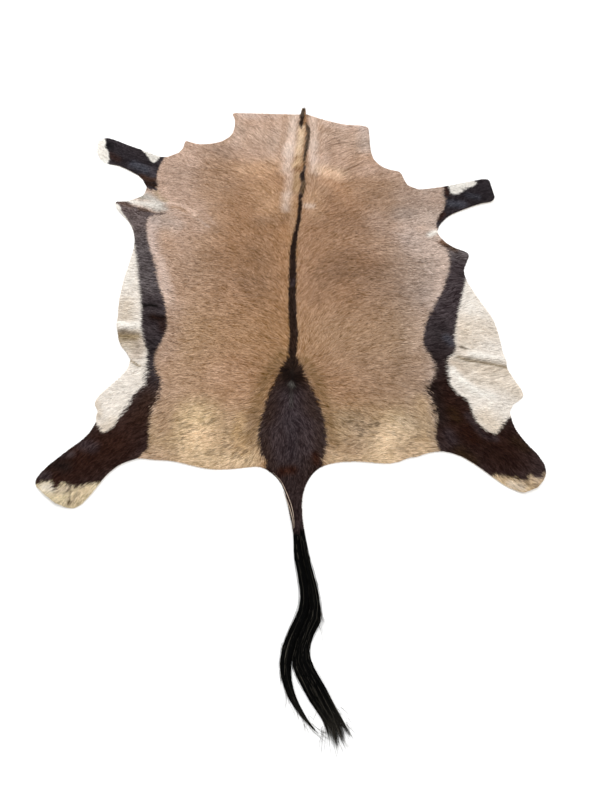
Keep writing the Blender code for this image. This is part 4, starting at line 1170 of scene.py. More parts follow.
# %% Node helper
class Shade:
    """One output of a material's nodes, which can be used in sums."""

    def __init__(self, tree, socket=None):
        self.tree = tree
        self.socket = socket

    def node(self, kind, settings=None, values=None, output=0):
        """Adds a node, sets it, links or fills its sockets, and returns one output."""
        made = self.tree.nodes.new(kind)
        for name, value in (settings or {}).items():
            setattr(made, name, value)
        for name, value in (values or {}).items():
            self.feed(made.inputs[name], value)
        return Shade(self.tree, made.outputs[output])

    def feed(self, socket, value):
        """Links a Shade to a socket, or writes a plain value there."""
        if isinstance(value, Shade):
            self.tree.links.new(value.socket, socket)
        else:
            socket.default_value = value

    def maths(self, operation, first, second):
        return self.node("ShaderNodeMath", {"operation": operation}, {0: first, 1: second})

    def __add__(self, other):
        return self.maths("ADD", self, other)

    def __sub__(self, other):
        return self.maths("SUBTRACT", self, other)

    def __rsub__(self, other):
        return self.maths("SUBTRACT", other, self)

    def __mul__(self, other):
        return self.maths("MULTIPLY", self, other)

    __radd__ = __add__
    __rmul__ = __mul__

    def ramp(self, low, high):
        """0 at low and below, 1 at high and above."""
        values = {"Value": self, "From Min": low, "From Max": high}
        return self.node("ShaderNodeMapRange", {"clamp": True}, values)

    def mixed(self, share, first, second, way="MIX"):
        """Two colours mixed."""
        settings = {"data_type": "RGBA", "blend_type": way}
        return self.node("ShaderNodeMix", settings, {0: share, 6: first, 7: second}, output=2)

    def lit(self, light):
        """This colour in more or less light."""
        grey = self.node("ShaderNodeCombineColor", values={"Red": light, "Green": light, "Blue": light})
        return self.mixed(1.0, self, grey, "MULTIPLY")


def new_material(name, constants):
    """A Principled material with its constant sockets set. Returns it with its Shade and its shader node."""
    material = bpy.data.materials.new(name)
    material.use_nodes = True
    surface = material.node_tree.nodes["Principled BSDF"]
    for socket, value in constants.items():
        surface.inputs[socket].default_value = value
    return material, Shade(material.node_tree), surface


def dress(surface, colour, roughness, relief, strength, depth):
    """Feeds a surface its colour, its roughness, and a relief of this strength and depth in metres."""
    bump = colour.node("ShaderNodeBump", values={"Strength": strength, "Distance": depth, "Height": relief})
    for socket, value in (("Base Color", colour), ("Roughness", roughness), ("Normal", bump)):
        colour.feed(surface.inputs[socket], value)


# %% [markdown]
# ## Hair material
# A blade of the coat is a small clump of hairs. Its colour comes with the mesh, and its own map runs across
# and along it, so fine lines drawn out along the blade split it into hairs, in colour and in relief. The root
# is shaded by its neighbours.

# %% Hair material
def hair_material(name, lines, root_shade, roughness, specular):
    """Lying hair: the blade's own colour, split into fine lines along it."""
    material, shade, surface = new_material(name, {"Specular IOR Level": specular})
    colour = shade.node("ShaderNodeAttribute", {"attribute_name": "coat"})
    strand = shade.node("ShaderNodeUVMap", {"uv_map": "strand"})
    across = shade.node("ShaderNodeSeparateXYZ", values={0: strand}, output=0)
    along = shade.node("ShaderNodeSeparateXYZ", values={0: strand}, output=1)
    place = shade.node("ShaderNodeCombineXYZ", values={"X": across * lines, "Y": along * 1.5})
    values = {"Vector": place, "Scale": 1.0, "Detail": 2.0}
    hairs = shade.node("ShaderNodeTexNoise", {"noise_dimensions": "2D"}, values)
    light = (hairs - 0.5) * 0.7 + along.ramp(0.0, 0.45) * root_shade + (1.0 - root_shade)
    dress(surface, colour.lit(light), hairs * 0.25 + (roughness - 0.12), hairs, strength=0.6, depth=0.0004)
    return material


coat_material = hair_material("lying coat", lines=9.0, root_shade=0.40, roughness=0.66, specular=0.05)
mane_material = hair_material("mane hair", lines=6.0, root_shade=0.30, roughness=0.60, specular=0.06)
tail_material = hair_material("tail hair", lines=5.0, root_shade=0.20, roughness=0.50, specular=0.02)
print("hair materials:", coat_material.name, mane_material.name, tail_material.name)

# %% [markdown]
# ## Leather material
# Between the hairs the top of the skin has the coat's own colour, darkened as painted shade between the
# hairs. The flesh side is pale suede with a loose nap. The cut edge is leather too, and the hair's colour
# runs down over it.

# %% Leather materials
def skin_material():
    """The skin between the hair roots, in the coat's colour darkened as painted shade."""
    material, shade, surface = new_material("skin under the coat", {"Specular IOR Level": 0.1})
    colour = shade.node("ShaderNodeAttribute", {"attribute_name": "coat"})
    place = shade.node("ShaderNodeTexCoord", output=3)
    specks = shade.node("ShaderNodeTexNoise", values={"Vector": place, "Scale": 900.0, "Detail": 3.0})
    dress(surface, colour.lit(specks * 0.5 + 0.30), specks * 0.2 + 0.7, specks, strength=0.5, depth=0.0005)
    return material


def suede_material(name, pale, deep, scale, coat_share):
    """Napped leather: fine fibres over broad, soft clouds, with a share of the coat's colour."""
    material, shade, surface = new_material(name, {"Specular IOR Level": 0.15, "Sheen Weight": 0.2})
    place = shade.node("ShaderNodeTexCoord", output=3)
    soft = shade.node("ShaderNodeTexNoise", values={"Vector": place, "Scale": 9.0, "Detail": 5.0})
    nap = shade.node("ShaderNodeTexNoise", values={"Vector": place, "Scale": scale, "Detail": 6.0})
    values = {"Vector": place, "Scale": 28.0, "Detail": 2.0, "Distortion": 1.2}
    veins = shade.node("ShaderNodeTexNoise", values=values)
    share = (soft * 0.7 + nap * 0.35 + veins * 0.25).ramp(0.42, 0.88)
    leather = shade.mixed(share, (*deep, 1.0), (*pale, 1.0))
    colour = shade.node("ShaderNodeAttribute", {"attribute_name": "coat"})
    coloured = shade.mixed(coat_share, leather, colour)
    dress(surface, coloured, nap * 0.25 + 0.7, nap, strength=0.5, depth=0.0006)
    return material


root_material = skin_material()
flesh_material = suede_material("flesh side suede", tint(214, 198, 172), tint(176, 152, 120), 420.0, 0.0)
cut_material = suede_material("cut edge", tint(186, 168, 142), tint(130, 108, 84), 700.0, 0.90)

# %% [markdown]
# ## Finishing the sheet
# The sheet's corners get the coat's colours, its underside rests on the floor or hangs under a fold, and each
# side gets its own leather.

# %% Finished sheet
for vert, z in zip(sheet.verts[top_count:], fine.read(sheet_lift, under)):
    vert.co.z = z
sheet.normal_update()
sheet.verts.index_update()
for face in sheet.faces:
    below = sum(vert.index >= top_count for vert in face.verts)
    face.material_index = {0: 0, len(face.verts): 1}.get(below, 2)
    face.smooth = face.material_index != 2
bmesh.ops.recalc_face_normals(sheet, faces=sheet.faces[:])


def add_piece(name, mesh, *materials):
    """A named object with its materials, riding on the hide's one body."""
    for material in materials:
        mesh.materials.append(material)
    piece = bpy.data.objects.new(name, mesh)
    bpy.context.scene.collection.objects.link(piece)
    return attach(piece, "root")


def write_colours(mesh, colours):
    """The colour of each point, kept on the mesh as coat."""
    layer = mesh.color_attributes.new("coat", "FLOAT_COLOR", "POINT")
    with_alpha = np.column_stack([colours, np.ones(len(colours))])
    layer.data.foreach_set("color", with_alpha.astype(np.float32).ravel())


WHITE_FROM = (0.45, 0.80)   # a colour is taken for white hair from this lightness on, and fully at this
PALE_SKIN_LIFT = 0.45

skin_mesh = bpy.data.meshes.new("skin")
sheet.to_mesh(skin_mesh)
sheet.free()
skin_places = np.array([vert.co.xy for vert in skin_mesh.vertices])
even = np.zeros(len(skin_places))
skin_colours = coat_colour(skin_places, even, even)
pale_skin = smooth_step(*WHITE_FROM, skin_colours.mean(axis=1, keepdims=True))
write_colours(skin_mesh, skin_colours * (1.0 + PALE_SKIN_LIFT * pale_skin))
skin = add_piece("skin", skin_mesh, root_material, flesh_material, cut_material)
top_area = sum(face.area for face in skin_mesh.polygons if face.material_index == 0)
print("top of the sheet measures", round(top_area, 3), "m2")

# %% [markdown]
# ## Blades of hair
# Real hair is finer than any mesh can be, so the coat is made of blades, each a lock of a few hairs: a root
# on the skin, a bend, and a pointed tip that lies back on its neighbours. A quarter of a million of them go
# into a few joined meshes, straight from arrays, because one object each would be far too slow.

# %% Blade meshes
DENSE_LIFT = 0.40
LOWEST_HAIR = 0.0001


def blade_mesh(name, centres, widths, sides, colours):
    """Joined blades. centres is (blades, rings, 3), widths and colours go by ring, the last at the tip."""
    count, rings = centres.shape[:2]
    half = 0.5 * widths[:, :-1, None] * sides[:, None, :]
    left, right = centres[:, :-1] - half, centres[:, :-1] + half
    pairs = np.stack([left, right], axis=2).reshape(count, 2 * (rings - 1), 3)
    points = np.concatenate([pairs, centres[:, -1:]], axis=1)
    points[:, :, 2] = np.maximum(points[:, :, 2], LOWEST_HAIR)
    per_blade = points.shape[1]
    quads = [[2 * ring, 2 * ring + 1, 2 * ring + 3, 2 * ring + 2] for ring in range(rings - 2)]
    corners = np.concatenate([np.ravel(quads).astype(int), [per_blade - 3, per_blade - 2, per_blade - 1]])
    starts = np.append(4 * np.arange(rings - 2), 4 * (rings - 2))
    mesh = bpy.data.meshes.new(name)
    mesh.vertices.add(count * per_blade)
    mesh.vertices.foreach_set("co", points.astype(np.float32).ravel())
    all_corners = (corners[None, :] + per_blade * np.arange(count)[:, None]).ravel()
    mesh.loops.add(len(all_corners))
    mesh.loops.foreach_set("vertex_index", all_corners.astype(np.int32))
    all_starts = (starts[None, :] + len(corners) * np.arange(count)[:, None]).ravel()
    mesh.polygons.add(len(all_starts))
    mesh.polygons.foreach_set("loop_start", all_starts.astype(np.int32))
    mesh.polygons.foreach_set("use_smooth", np.ones(len(all_starts), dtype=bool))
    mesh.update(calc_edges=True)
    ring_share = np.linspace(0.0, 1.0, rings)
    strand = np.column_stack([np.tile([0.0, 1.0], rings - 1), np.repeat(ring_share[:-1], 2)])
    strand = np.vstack([strand, [0.5, 1.0]])
    shift = (np.arange(count) * 0.618 % 1.0 * 40.0)[:, None, None] * np.array([1.0, 0.0])
    strand_map = mesh.uv_layers.new(name="strand")
    strand_map.uv.foreach_set("vector", (strand[corners][None] + shift).astype(np.float32).ravel())
    plan_map = mesh.uv_layers.new(name="OFBake")
    flat = points[:, :, :2]
    low, high = flat.min(axis=(0, 1)), flat.max(axis=(0, 1))
    plan_map.uv.foreach_set("vector", ((flat[:, corners] - low) / (high - low)).astype(np.float32).ravel())
    mesh.uv_layers.active = strand_map
    pair_colours = np.repeat(colours[:, :-1], 2, axis=1)
    write_colours(mesh, np.concatenate([pair_colours, colours[:, -1:]], axis=1).reshape(-1, 3))
    return mesh


def densely(colours):
    """White hair stands dense, so its roots are hardly in shade, and their colours are lifted."""
    return colours * (1.0 + DENSE_LIFT * smooth_step(*WHITE_FROM, colours.mean(axis=1, keepdims=True)))


def ring_colours(centres, ragged, own_tone, shades):
    """The colour of each ring of each blade, taken at its own place, and made darker or lighter by ring."""
    rings = [coat_colour(centres[:, ring, :2], ragged, own_tone) * shade for ring, shade in enumerate(shades)]
    return np.stack([densely(rings[0]), *rings[1:]], axis=1).clip(0.0, 1.2)


# %% [markdown]
# ## The coat
# Roots stand on an even lattice with a little chance in their places. The lie, the length and the width of
# the hair change over the hide: short on the legs, longer on the belly and the rump. Beside the cut edge the
# hair leans out over it and stops just past it, so the outline stays the hide's own. A hair's colours are
# those of the middle of its length, where it is seen.

# %% Coat
ROOT_STEP = 0.00269
ROOT_CHANCE = 0.45                  # the share of a step by which a root is off its place
COAT_SEED = 7
COAT_LENGTH = [
    (0.0, 0.2, 0.016), (0.25, 0.2, 0.016), (0.25, -0.3, 0.017), (0.25, -0.66, 0.018), (0.60, -0.30, 0.021),
    (0.0, -0.58, 0.018), (0.10, 0.60, 0.022), (0.65, 0.31, 0.012), (0.62, 0.50, 0.012), (0.60, -0.75, 0.014),
    (0.00, -0.85, 0.012), (0.0, 0.45, 0.020),
]
LENGTH_REACH = 0.10                 # how far each place of that table counts
LENGTH_CHANCE = (0.75, 1.20)
SHORTEST = 0.0035
COAT_WIDTH = 0.0018
WIDTH_CHANCE = (0.7, 1.3)
COAT_RISE = 0.0026
RISE_CHANCE = (0.5, 1.35)
FLAT_RIM = 0.35                     # the rise at the edge, as a share of the full rise
FULL_RISE_WITHIN = 0.012
USUAL_LENGTH = 0.016                # a shorter hair rises less, and a longer one more
HEADING_CHANCE, CLOUD_SWING, ROLL_CHANCE = 0.11, 0.05, 0.32     # in radians
OVERHANG = 0.0005
BARE_RIM = 0.0010
EDGE_LEAN, LEANS_WITHIN = 0.8, 0.010
EDGE_DROP, DROPS_WITHIN = 0.0016, 0.004
LOWEST_COAT = 0.0003
SEEN_FROM, SEEN_TO = 0.28, 0.82     # the stretch of a hair, as shares of its length, that gives its colours
COAT_RINGS = [(0.0, -0.15), (0.5, 0.85), (1.0, 1.0)]    # shares of the length and of the rise
COAT_TAPER = (0.8, 1.0, 0.0)
COAT_SHADES = (0.90, 1.0, 1.06)     # darker at the root and lighter at the tip
BANDS = {"coat_neck": 0.34, "coat_back": 0.05, "coat_loins": -0.24, "coat_rump": -0.53, "coat_hind": -2.0}


def make_coat():
    """The lying hair, in one joined mesh for each band of the hide."""
    chance = np.random.default_rng(COAT_SEED)
    roots = lattice(ROOT_STEP)
    roots = roots + ROOT_STEP * chance.uniform(-ROOT_CHANCE, ROOT_CHANCE, roots.shape)
    edge_room = coarse.read(room, roots)
    roots, edge_room = roots[edge_room > BARE_RIM], edge_room[edge_room > BARE_RIM]
    count = len(roots)
    streak = fine.read(streaks, roots)
    heading = np.arctan2(coarse.read(growth_y, roots), coarse.read(growth_x, roots))
    heading = heading + HEADING_CHANCE * chance.standard_normal(count)
    heading = heading + CLOUD_SWING * fine.read(clouds, roots)
    out = np.column_stack([coarse.read(outward_x, roots), coarse.read(outward_y, roots)])
    lean = EDGE_LEAN * (1.0 - smooth_step(0.0, LEANS_WITHIN, edge_room))[:, None]
    way = np.column_stack([np.cos(heading), np.sin(heading)]) * (1.0 - lean) + out * lean
    way = way / np.linalg.norm(way, axis=1).clip(1e-6)[:, None]
    table = np.array(COAT_LENGTH)
    mirrored = np.column_stack([np.abs(roots[:, 0]), roots[:, 1]])
    length = blend_places(mirrored, table[:, :2], LENGTH_REACH, table[:, 2:])[:, 0]
    length = length * chance.uniform(*LENGTH_CHANCE, count)
    tip_room = coarse.read(room, roots + way * length[:, None])
    beyond = np.clip(-tip_room - OVERHANG * chance.uniform(0.0, 1.4, count), 0.0, None)
    length = np.maximum(length - beyond, SHORTEST)
    rise = COAT_RISE * chance.uniform(*RISE_CHANCE, count) * (1.0 + 0.25 * streak).clip(0.4, 1.7)
    from_edge = FLAT_RIM + (1.0 - FLAT_RIM) * smooth_step(0.0, FULL_RISE_WITHIN, edge_room)
    rise = rise * from_edge * (length / USUAL_LENGTH).clip(0.4, 1.3)
    centres = np.zeros((count, len(COAT_RINGS), 3))
    seen = np.zeros((count, len(COAT_RINGS), 3))
    for ring, (share, high) in enumerate(COAT_RINGS):
        at = roots + way * (share * length)[:, None]
        over_edge = smooth_step(0.0, DROPS_WITHIN, -coarse.read(room, at)) * EDGE_DROP
        centres[:, ring, :2] = at
        centres[:, ring, 2] = np.maximum(fine.read(skin_top, at) + high * rise - over_edge, LOWEST_COAT)
        seen[:, ring, :2] = roots + way * ((SEEN_FROM + share * (SEEN_TO - SEEN_FROM)) * length)[:, None]
    roll = ROLL_CHANCE * chance.standard_normal(count)
    sides = np.column_stack([-way[:, 1] * np.cos(roll), way[:, 0] * np.cos(roll), np.sin(roll)])
    widths = (COAT_WIDTH * chance.uniform(*WIDTH_CHANCE, count))[:, None] * np.array(COAT_TAPER)
    ragged = 0.7 * chance.standard_normal(count) + 0.3 * streak
    colours = ring_colours(seen, ragged, chance.standard_normal(count), COAT_SHADES)
    made = []
    upper = np.inf
    for name, lower in BANDS.items():
        here = (roots[:, 1] <= upper) & (roots[:, 1] > lower)
        mesh = blade_mesh(name, centres[here], widths[here], sides[here], colours[here])
        made.append(add_piece(name, mesh, coat_material))
        upper = lower
        print(name, "has", here.sum(), "blades and", 3 * here.sum(), "triangles")
    return made


coat_pieces = make_coat()

# %% [markdown]
# ## The mane
# Along the neck the hair is longer. It leans over to the right as far as the line of the back, cream at the
# root with dark tips, so it takes its colours from the coat's own marks. A small dark tuft of it stands past
# the neck's cut edge.

# %% Mane
MANE_SEED = 21
MANE_BLADES = 3900
TUFT_BLADES = 260
MANE_RINGS = 5
MANE_TOP, MANE_FOOT = 0.708, 0.160
FULL_MANE = 0.34                    # from its foot up to this y the mane gains its full strength
MANE_WIDTH, TUFT_WIDTH = 0.0014, 0.0013
MANE_TAPER = (0.8, 1.0, 1.0, 0.7, 0.0)
MANE_SHADES = (0.85, 0.95, 1.0, 1.04, 1.08)
MANE_BARE, MANE_SIDE = 0.004, 0.042     # left of the line a bare strip, and then the roots, this wide
MANE_PAST = 0.007                       # its tips end this far right of the line
MANE_LENGTH = (0.020, 0.012)        # at its foot, and how much more at its full strength
MANE_RISE = (0.0030, 0.0030)        # the same for how high it stands
MANE_ANGLE, ANGLE_CHANCE, BEND_CHANCE, TUFT_BEND = 61, 8, 10, 4     # in degrees
TUFT_ROOTS = ((0.026, 0.700), (0.050, 0.738))
TUFT_TIP = (0.0445, 0.7840)
TUFT_SPREAD = ((-0.0100, -0.008), (0.0062, 0.003))
TUFT_RISE = 0.006


def mane_blades(roots, length, angle, bend, rise, width, chance):
    """Bent locks, as centres, widths, sides, and colours taken from the marks below them."""
    count = len(roots)
    centres = np.zeros((count, MANE_RINGS, 3))
    at = roots.copy()
    for ring in range(MANE_RINGS):
        share = ring / (MANE_RINGS - 1)
        centres[:, ring, :2] = at
        high = math.sin(math.pi * min(share * 0.8, 0.62)) - 0.05
        centres[:, ring, 2] = fine.read(skin_top, at) + rise * high
        turned = angle + bend * share
        at = at + (length / (MANE_RINGS - 1))[:, None] * np.column_stack([np.cos(turned), np.sin(turned)])
    sides = np.column_stack([-np.sin(angle), np.cos(angle), 0.3 * chance.standard_normal(count)])
    widths = (width * chance.uniform(*WIDTH_CHANCE, count))[:, None] * np.array(MANE_TAPER)
    ragged = 0.7 * chance.standard_normal(count) + 0.8 * fine.read(streaks, roots)
    colours = ring_colours(centres, ragged, 1.2 * chance.standard_normal(count), MANE_SHADES)
    return centres, widths, sides, colours


def make_mane():
    """The leaning locks left of the dark line, and the tuft."""
    chance = np.random.default_rng(MANE_SEED)
    y = MANE_FOOT + (MANE_TOP - MANE_FOOT) * chance.random(MANE_BLADES) ** 0.8
    strength = smooth_step(MANE_FOOT, FULL_MANE, y)
    aside = -(MANE_BARE + MANE_SIDE * chance.random(MANE_BLADES) * (0.25 + 0.75 * strength))
    angle = np.radians(MANE_ANGLE + ANGLE_CHANCE * chance.standard_normal(MANE_BLADES))
    length = (MANE_LENGTH[0] + MANE_LENGTH[1] * strength) * chance.uniform(*LENGTH_CHANCE, MANE_BLADES)
    length = np.minimum(length, (MANE_PAST - aside) / np.cos(angle).clip(0.2))
    rise = (MANE_RISE[0] + MANE_RISE[1] * strength) * chance.uniform(0.5, 1.2, MANE_BLADES)
    bend = np.radians(BEND_CHANCE * chance.standard_normal(MANE_BLADES))
    roots = np.column_stack([spine_x(y) + aside, y])
    locks = mane_blades(roots, length, angle, bend, rise, MANE_WIDTH, chance)
    tuft_roots = chance.uniform(*TUFT_ROOTS, (TUFT_BLADES, 2))
    tips = np.array(TUFT_TIP) + chance.uniform(*TUFT_SPREAD, (TUFT_BLADES, 2))
    to_tip = tips - tuft_roots
    angle = np.arctan2(to_tip[:, 1], to_tip[:, 0])
    reach = np.hypot(*to_tip.T) * chance.uniform(0.60, 1.0, TUFT_BLADES)
    bend = np.radians(TUFT_BEND * chance.standard_normal(TUFT_BLADES))
    rise = TUFT_RISE * chance.uniform(0.6, 1.4, TUFT_BLADES)
    tuft = mane_blades(tuft_roots, reach, angle, bend, rise, TUFT_WIDTH, chance)
    mesh = blade_mesh("mane", *(np.concatenate(both) for both in zip(locks, tuft)))
    return add_piece("mane", mesh, mane_material)


mane = make_mane()
mane_locks = MANE_BLADES + TUFT_BLADES
print("mane of", mane_locks, "locks and", mane_locks * (2 * MANE_RINGS - 3), "triangles")

# %% [markdown]
# ## The fold along the tail
# The cut edges of the tail skin roll under and meet along its left side, where two thin rims of pale leather
# show, close beside each other. Each is half a round, laid along a given line.

# %% Tail fold
RIMS = [
    [
        (-0.0480, -0.7660), (-0.0258, -0.7919), (-0.0125, -0.8194), (0.0020, -0.8575), (0.0096, -0.8912),
        (0.0120, -0.9270),
    ],
    [(-0.0200, -0.8200), (-0.0108, -0.8423), (0.0001, -0.8726), (0.0074, -0.9025), (0.0092, -0.9270)],
]
FOLD_RADIUS = 0.0011
FOLD_OVER_SKIN = 0.0012
FOLD_STEP = 0.004
FOLD_SIDES = 6
RIM_COLOUR = tint(178, 160, 145)


def fold_rim(places):
    """One half-round rim through the places, as rings of points."""
    middle = smooth_curve(places, FOLD_STEP)
    way = np.gradient(middle, axis=0)
    way = way / np.linalg.norm(way, axis=1)[:, None]
    across = np.column_stack([-way[:, 1], way[:, 0]])
    thin = np.sin(math.pi * np.linspace(0.08, 0.92, len(middle))).clip(0.35) * FOLD_RADIUS
    turns = np.linspace(0.0, math.pi, FOLD_SIDES)
    points = []
    for turn in turns:
        at = middle + across * (np.cos(turn) * thin)[:, None]
        points.append(np.column_stack([at, fine.read(skin_top, at) + FOLD_OVER_SKIN + thin * np.sin(turn)]))
    return np.stack(points, axis=1)


rims = bmesh.new()
for places in RIMS:
    rows = [[rims.verts.new(point) for point in ring] for ring in fold_rim(places)]
    for first, second in zip(rows, rows[1:]):
        for corners in zip(first, first[1:], second[1:], second):
            rims.faces.new(corners).smooth = True
bmesh.ops.recalc_face_normals(rims, faces=rims.faces[:])
rim_mesh = bpy.data.meshes.new("tail fold")
rims.to_mesh(rim_mesh)
rims.free()
write_colours(rim_mesh, np.tile(RIM_COLOUR, (len(rim_mesh.vertices), 1)))
rim_material = suede_material("rolled rim", tint(204, 186, 168), tint(150, 128, 108), 700.0, 0.5)
tail_fold = add_piece("tail_fold", rim_mesh, rim_material)
print("tail fold of", len(rim_mesh.polygons), "faces")

# %% [markdown]
# ## The tail hair
# The long black hair leaves the end of the tail skin, narrows, swings left, and parts into two bundles whose
# tips swing right. Its sides and its parting are given at stations down its length, the same ones that shape
# its solid. Each strand keeps its own place between the sides, wanders a little, and ends at its own length,
# drawn towards the nearest of five pointed tips. Loose strands leave the bundles at their bends and tips.

# %% Tail hair table
TAIL_HAIR = [     # y, and x of the left side, the left and right of the parting, and the right side
    (-0.900, 0.0050, 0.0195, 0.0195, 0.0330), (-0.946, 0.0095, 0.0250, 0.0250, 0.0415),
    (-1.000, 0.0125, 0.0320, 0.0320, 0.0500), (-1.065, 0.0260, 0.0470, 0.0470, 0.0660),
    (-1.097, 0.0310, 0.0520, 0.0520, 0.0725), (-1.133, 0.0250, 0.0500, 0.0510, 0.0785),
    (-1.160, 0.0100, 0.0380, 0.0390, 0.0765), (-1.185, -0.0030, 0.0250, 0.0260, 0.0620),
    (-1.210, -0.0130, 0.0150, 0.0170, 0.0500), (-1.240, -0.0200, 0.0080, 0.0090, 0.0475),
    (-1.258, -0.0215, 0.0050, 0.0090, 0.0550), (-1.280, -0.0180, 0.0040, 0.0180, 0.0715),
    (-1.305, -0.0100, 0.0090, 0.0320, 0.0870), (-1.335, 0.0050, 0.0210, 0.0500, 0.1030),
    (-1.360, 0.0220, 0.0370, 0.0700, 0.1180), (-1.385, 0.0450, 0.0550, 0.0870, 0.1340),
    (-1.410, 0.0740, 0.0790, 0.0920, 0.1470), (-1.445, 0.0960, 0.0980, 0.0980, 0.1530),
]
WISPS = [     # x, y, heading in degrees, length, turn in degrees, and how many
    (0.074, -1.125, -72, 0.054, -12, 16), (0.064, -1.150, -84, 0.048, -20, 12),
    (0.060, -1.060, -66, 0.040, -14, 6), (-0.012, -1.205, -112, 0.030, 14, 6),
    (-0.017, -1.260, -88, 0.042, -6, 9), (-0.004, -1.305, -78, 0.044, -10, 9),
    (0.012, -1.335, -70, 0.044, -12, 9), (0.032, -1.365, -62, 0.040, -14, 9),
    (0.056, -1.388, -36, 0.045, 10, 6), (0.072, -1.398, -28, 0.034, 4, 4),
    (0.062, -1.350, -122, 0.022, 18, 2), (0.040, -1.358, -40, 0.022, -10, 1),
    (0.086, -1.385, -96, 0.052, -4, 10), (0.098, -1.395, -80, 0.052, 6, 16),
    (0.116, -1.395, -72, 0.044, 10, 14), (0.130, -1.380, -56, 0.040, -14, 9),
    (0.112, -1.350, -52, 0.034, -10, 6),
]
# The five tips: their place across the hair, 0 to 1, and their reach down it
TIPS = [(0.34, 0.456), (0.52, 0.474), (0.65, 0.490), (0.79, 0.478), (0.98, 0.469)]
TIP_PULL = 0.64             # how far a strand's end is drawn to its tip
STRAY_SHARE = 0.07          # this share of the strands strays from the bundles' sides
STRAYS_BY = 0.0042          # by about this much at their ends, in metres

# %% Tail hair
TAIL_SEED = 33
TAIL_STRANDS = 2500
TAIL_RINGS = 14
TAIL_HEIGHT = 0.0145
STRAND_WIDTH, STRAY_WIDTH, WISP_WIDTH = 0.0015, 0.0007, 0.0006
ROOT_FROM, ROOT_TO = -0.922, -0.985     # strands take root along the end of the tail skin
ROOT_SLANT = 0.014                      # and this much lower on its left side than on its right
REACH_FROM = -0.94                      # the tips' reach is measured from here
ENDS_WITHIN = 0.080                     # strands end this far above their tip, or nearer
PAST_TIP, PAST_SHARE = 0.014, 0.06      # a few end this far past it
SHORT_SHARE = 0.14                      # and this share of them ends early, at a reach between these
SHORT_REACH = (0.15, 0.40)
WANDER = 0.12                           # how far strands wander inside their bundle
IN_BUNDLE = 0.249                       # they stay this near its middle, where a bundle is 0.5 wide
PULL_FROM = 0.86                        # the pull to the tip begins at this share of the length
LOWEST_STRAND = 0.0012
WISP_HEIGHT = (0.001, 0.006)
WISP_SPREAD = 0.006
WISP_SWING = (8, 9)                     # degrees by which a wisp's heading and its turn vary
# A share of the strands is browner, as painted sheen; the tips and the loose wisps get the same brown.
SHEEN_STRAND_SHARE = 0.10
BROWN_TIPS = 0.22
HAIR_BLACK = tint(4, 4, 4)
TAIL_SHEEN_AND_BROWN = tint(74, 70, 62)


def fan_across(y, place):
    """Where a strand lies across the hair at a station: 0 is its left side and 1 its right."""
    rows = np.array(TAIL_HAIR)[::-1]
    left, part_left, part_right, right = (np.interp(y, rows[:, 0], rows[:, column]) for column in range(1, 5))
    first = left + 2 * place * (part_left - left)
    second = part_right + (2 * place - 1) * (right - part_right)
    return np.where(place < 0.5, first, second)


def blade_sides(centres, chance):
    """The sideways direction of each strand, rolled a little by chance."""
    way = np.gradient(centres[:, :, :2], axis=1).mean(axis=1)
    way = way / np.linalg.norm(way, axis=1)[:, None]
    roll = 0.5 * chance.standard_normal(len(centres))
    return np.column_stack([-way[:, 1] * np.cos(roll), way[:, 0] * np.cos(roll), np.sin(roll)])


def tail_strands(chance):
    """The two bundles, as centres and widths."""
    place = chance.uniform(0.01, 0.99, TAIL_STRANDS)
    root = ROOT_FROM - (ROOT_FROM - ROOT_TO) * chance.random(TAIL_STRANDS) ** 0.6 - ROOT_SLANT * (1.0 - place)
    tips = np.array(TIPS)
    apart = np.abs(place[:, None] - tips[:, 0]) + ((place[:, None] < 0.5) != (tips[:, 0] < 0.5))
    own_tip, reach = tips[apart.argmin(axis=1)].T
    reach = reach - ENDS_WITHIN * chance.random(TAIL_STRANDS) ** 1.8
    reach = reach + PAST_TIP * (chance.random(TAIL_STRANDS) < PAST_SHARE)
    ends_early = chance.random(TAIL_STRANDS) < SHORT_SHARE
    reach = np.where(ends_early, chance.uniform(*SHORT_REACH, TAIL_STRANDS), reach)
    tip = REACH_FROM - reach
    height = chance.random(TAIL_STRANDS)
    wander = WANDER * chance.standard_normal((TAIL_STRANDS, 4))
    strays = chance.random(TAIL_STRANDS) < STRAY_SHARE
    stray = np.where(strays, STRAYS_BY * chance.standard_normal(TAIL_STRANDS), 0.0)
    share = np.linspace(0.0, 1.0, TAIL_RINGS)
    bundle = np.where(place < 0.5, 0.25, 0.75)
    centres = np.zeros((TAIL_STRANDS, TAIL_RINGS, 3))
    for ring, along in enumerate(share):
        y = root + along * (tip - root)
        waves = [along, math.sin(3 * along), math.sin(7 * along), math.sin(13 * along) * 0.4]
        swing = wander @ np.array(waves)
        placed = bundle + np.clip(place - bundle + swing * along * 0.45, -IN_BUNDLE, IN_BUNDLE)
        placed = placed + TIP_PULL * smooth_step(PULL_FROM, 1.0, along) * (own_tip - placed)
        loose = stray * math.sin(math.pi * min(1.3 * along, 0.75))
        mound = np.sqrt(np.clip(1.0 - ((placed - bundle) / 0.25) ** 2, 0.05, 1.0))
        thin = 1.0 - 0.8 * smooth_step(0.70, 1.0, along)
        top = TAIL_HEIGHT * mound * thin * (0.75 + 0.25 * np.cos(along * 5.0))
        x = fan_across(y, placed) + loose
        centres[:, ring] = np.column_stack([x, y, LOWEST_STRAND + top * (0.15 + 0.85 * height)])
    width = np.where(strays, STRAY_WIDTH, STRAND_WIDTH) * chance.uniform(0.6, 1.3, TAIL_STRANDS)
    return centres, width[:, None] * np.clip(1.2 - share ** 2, 0.2, 1.0)[None, :]


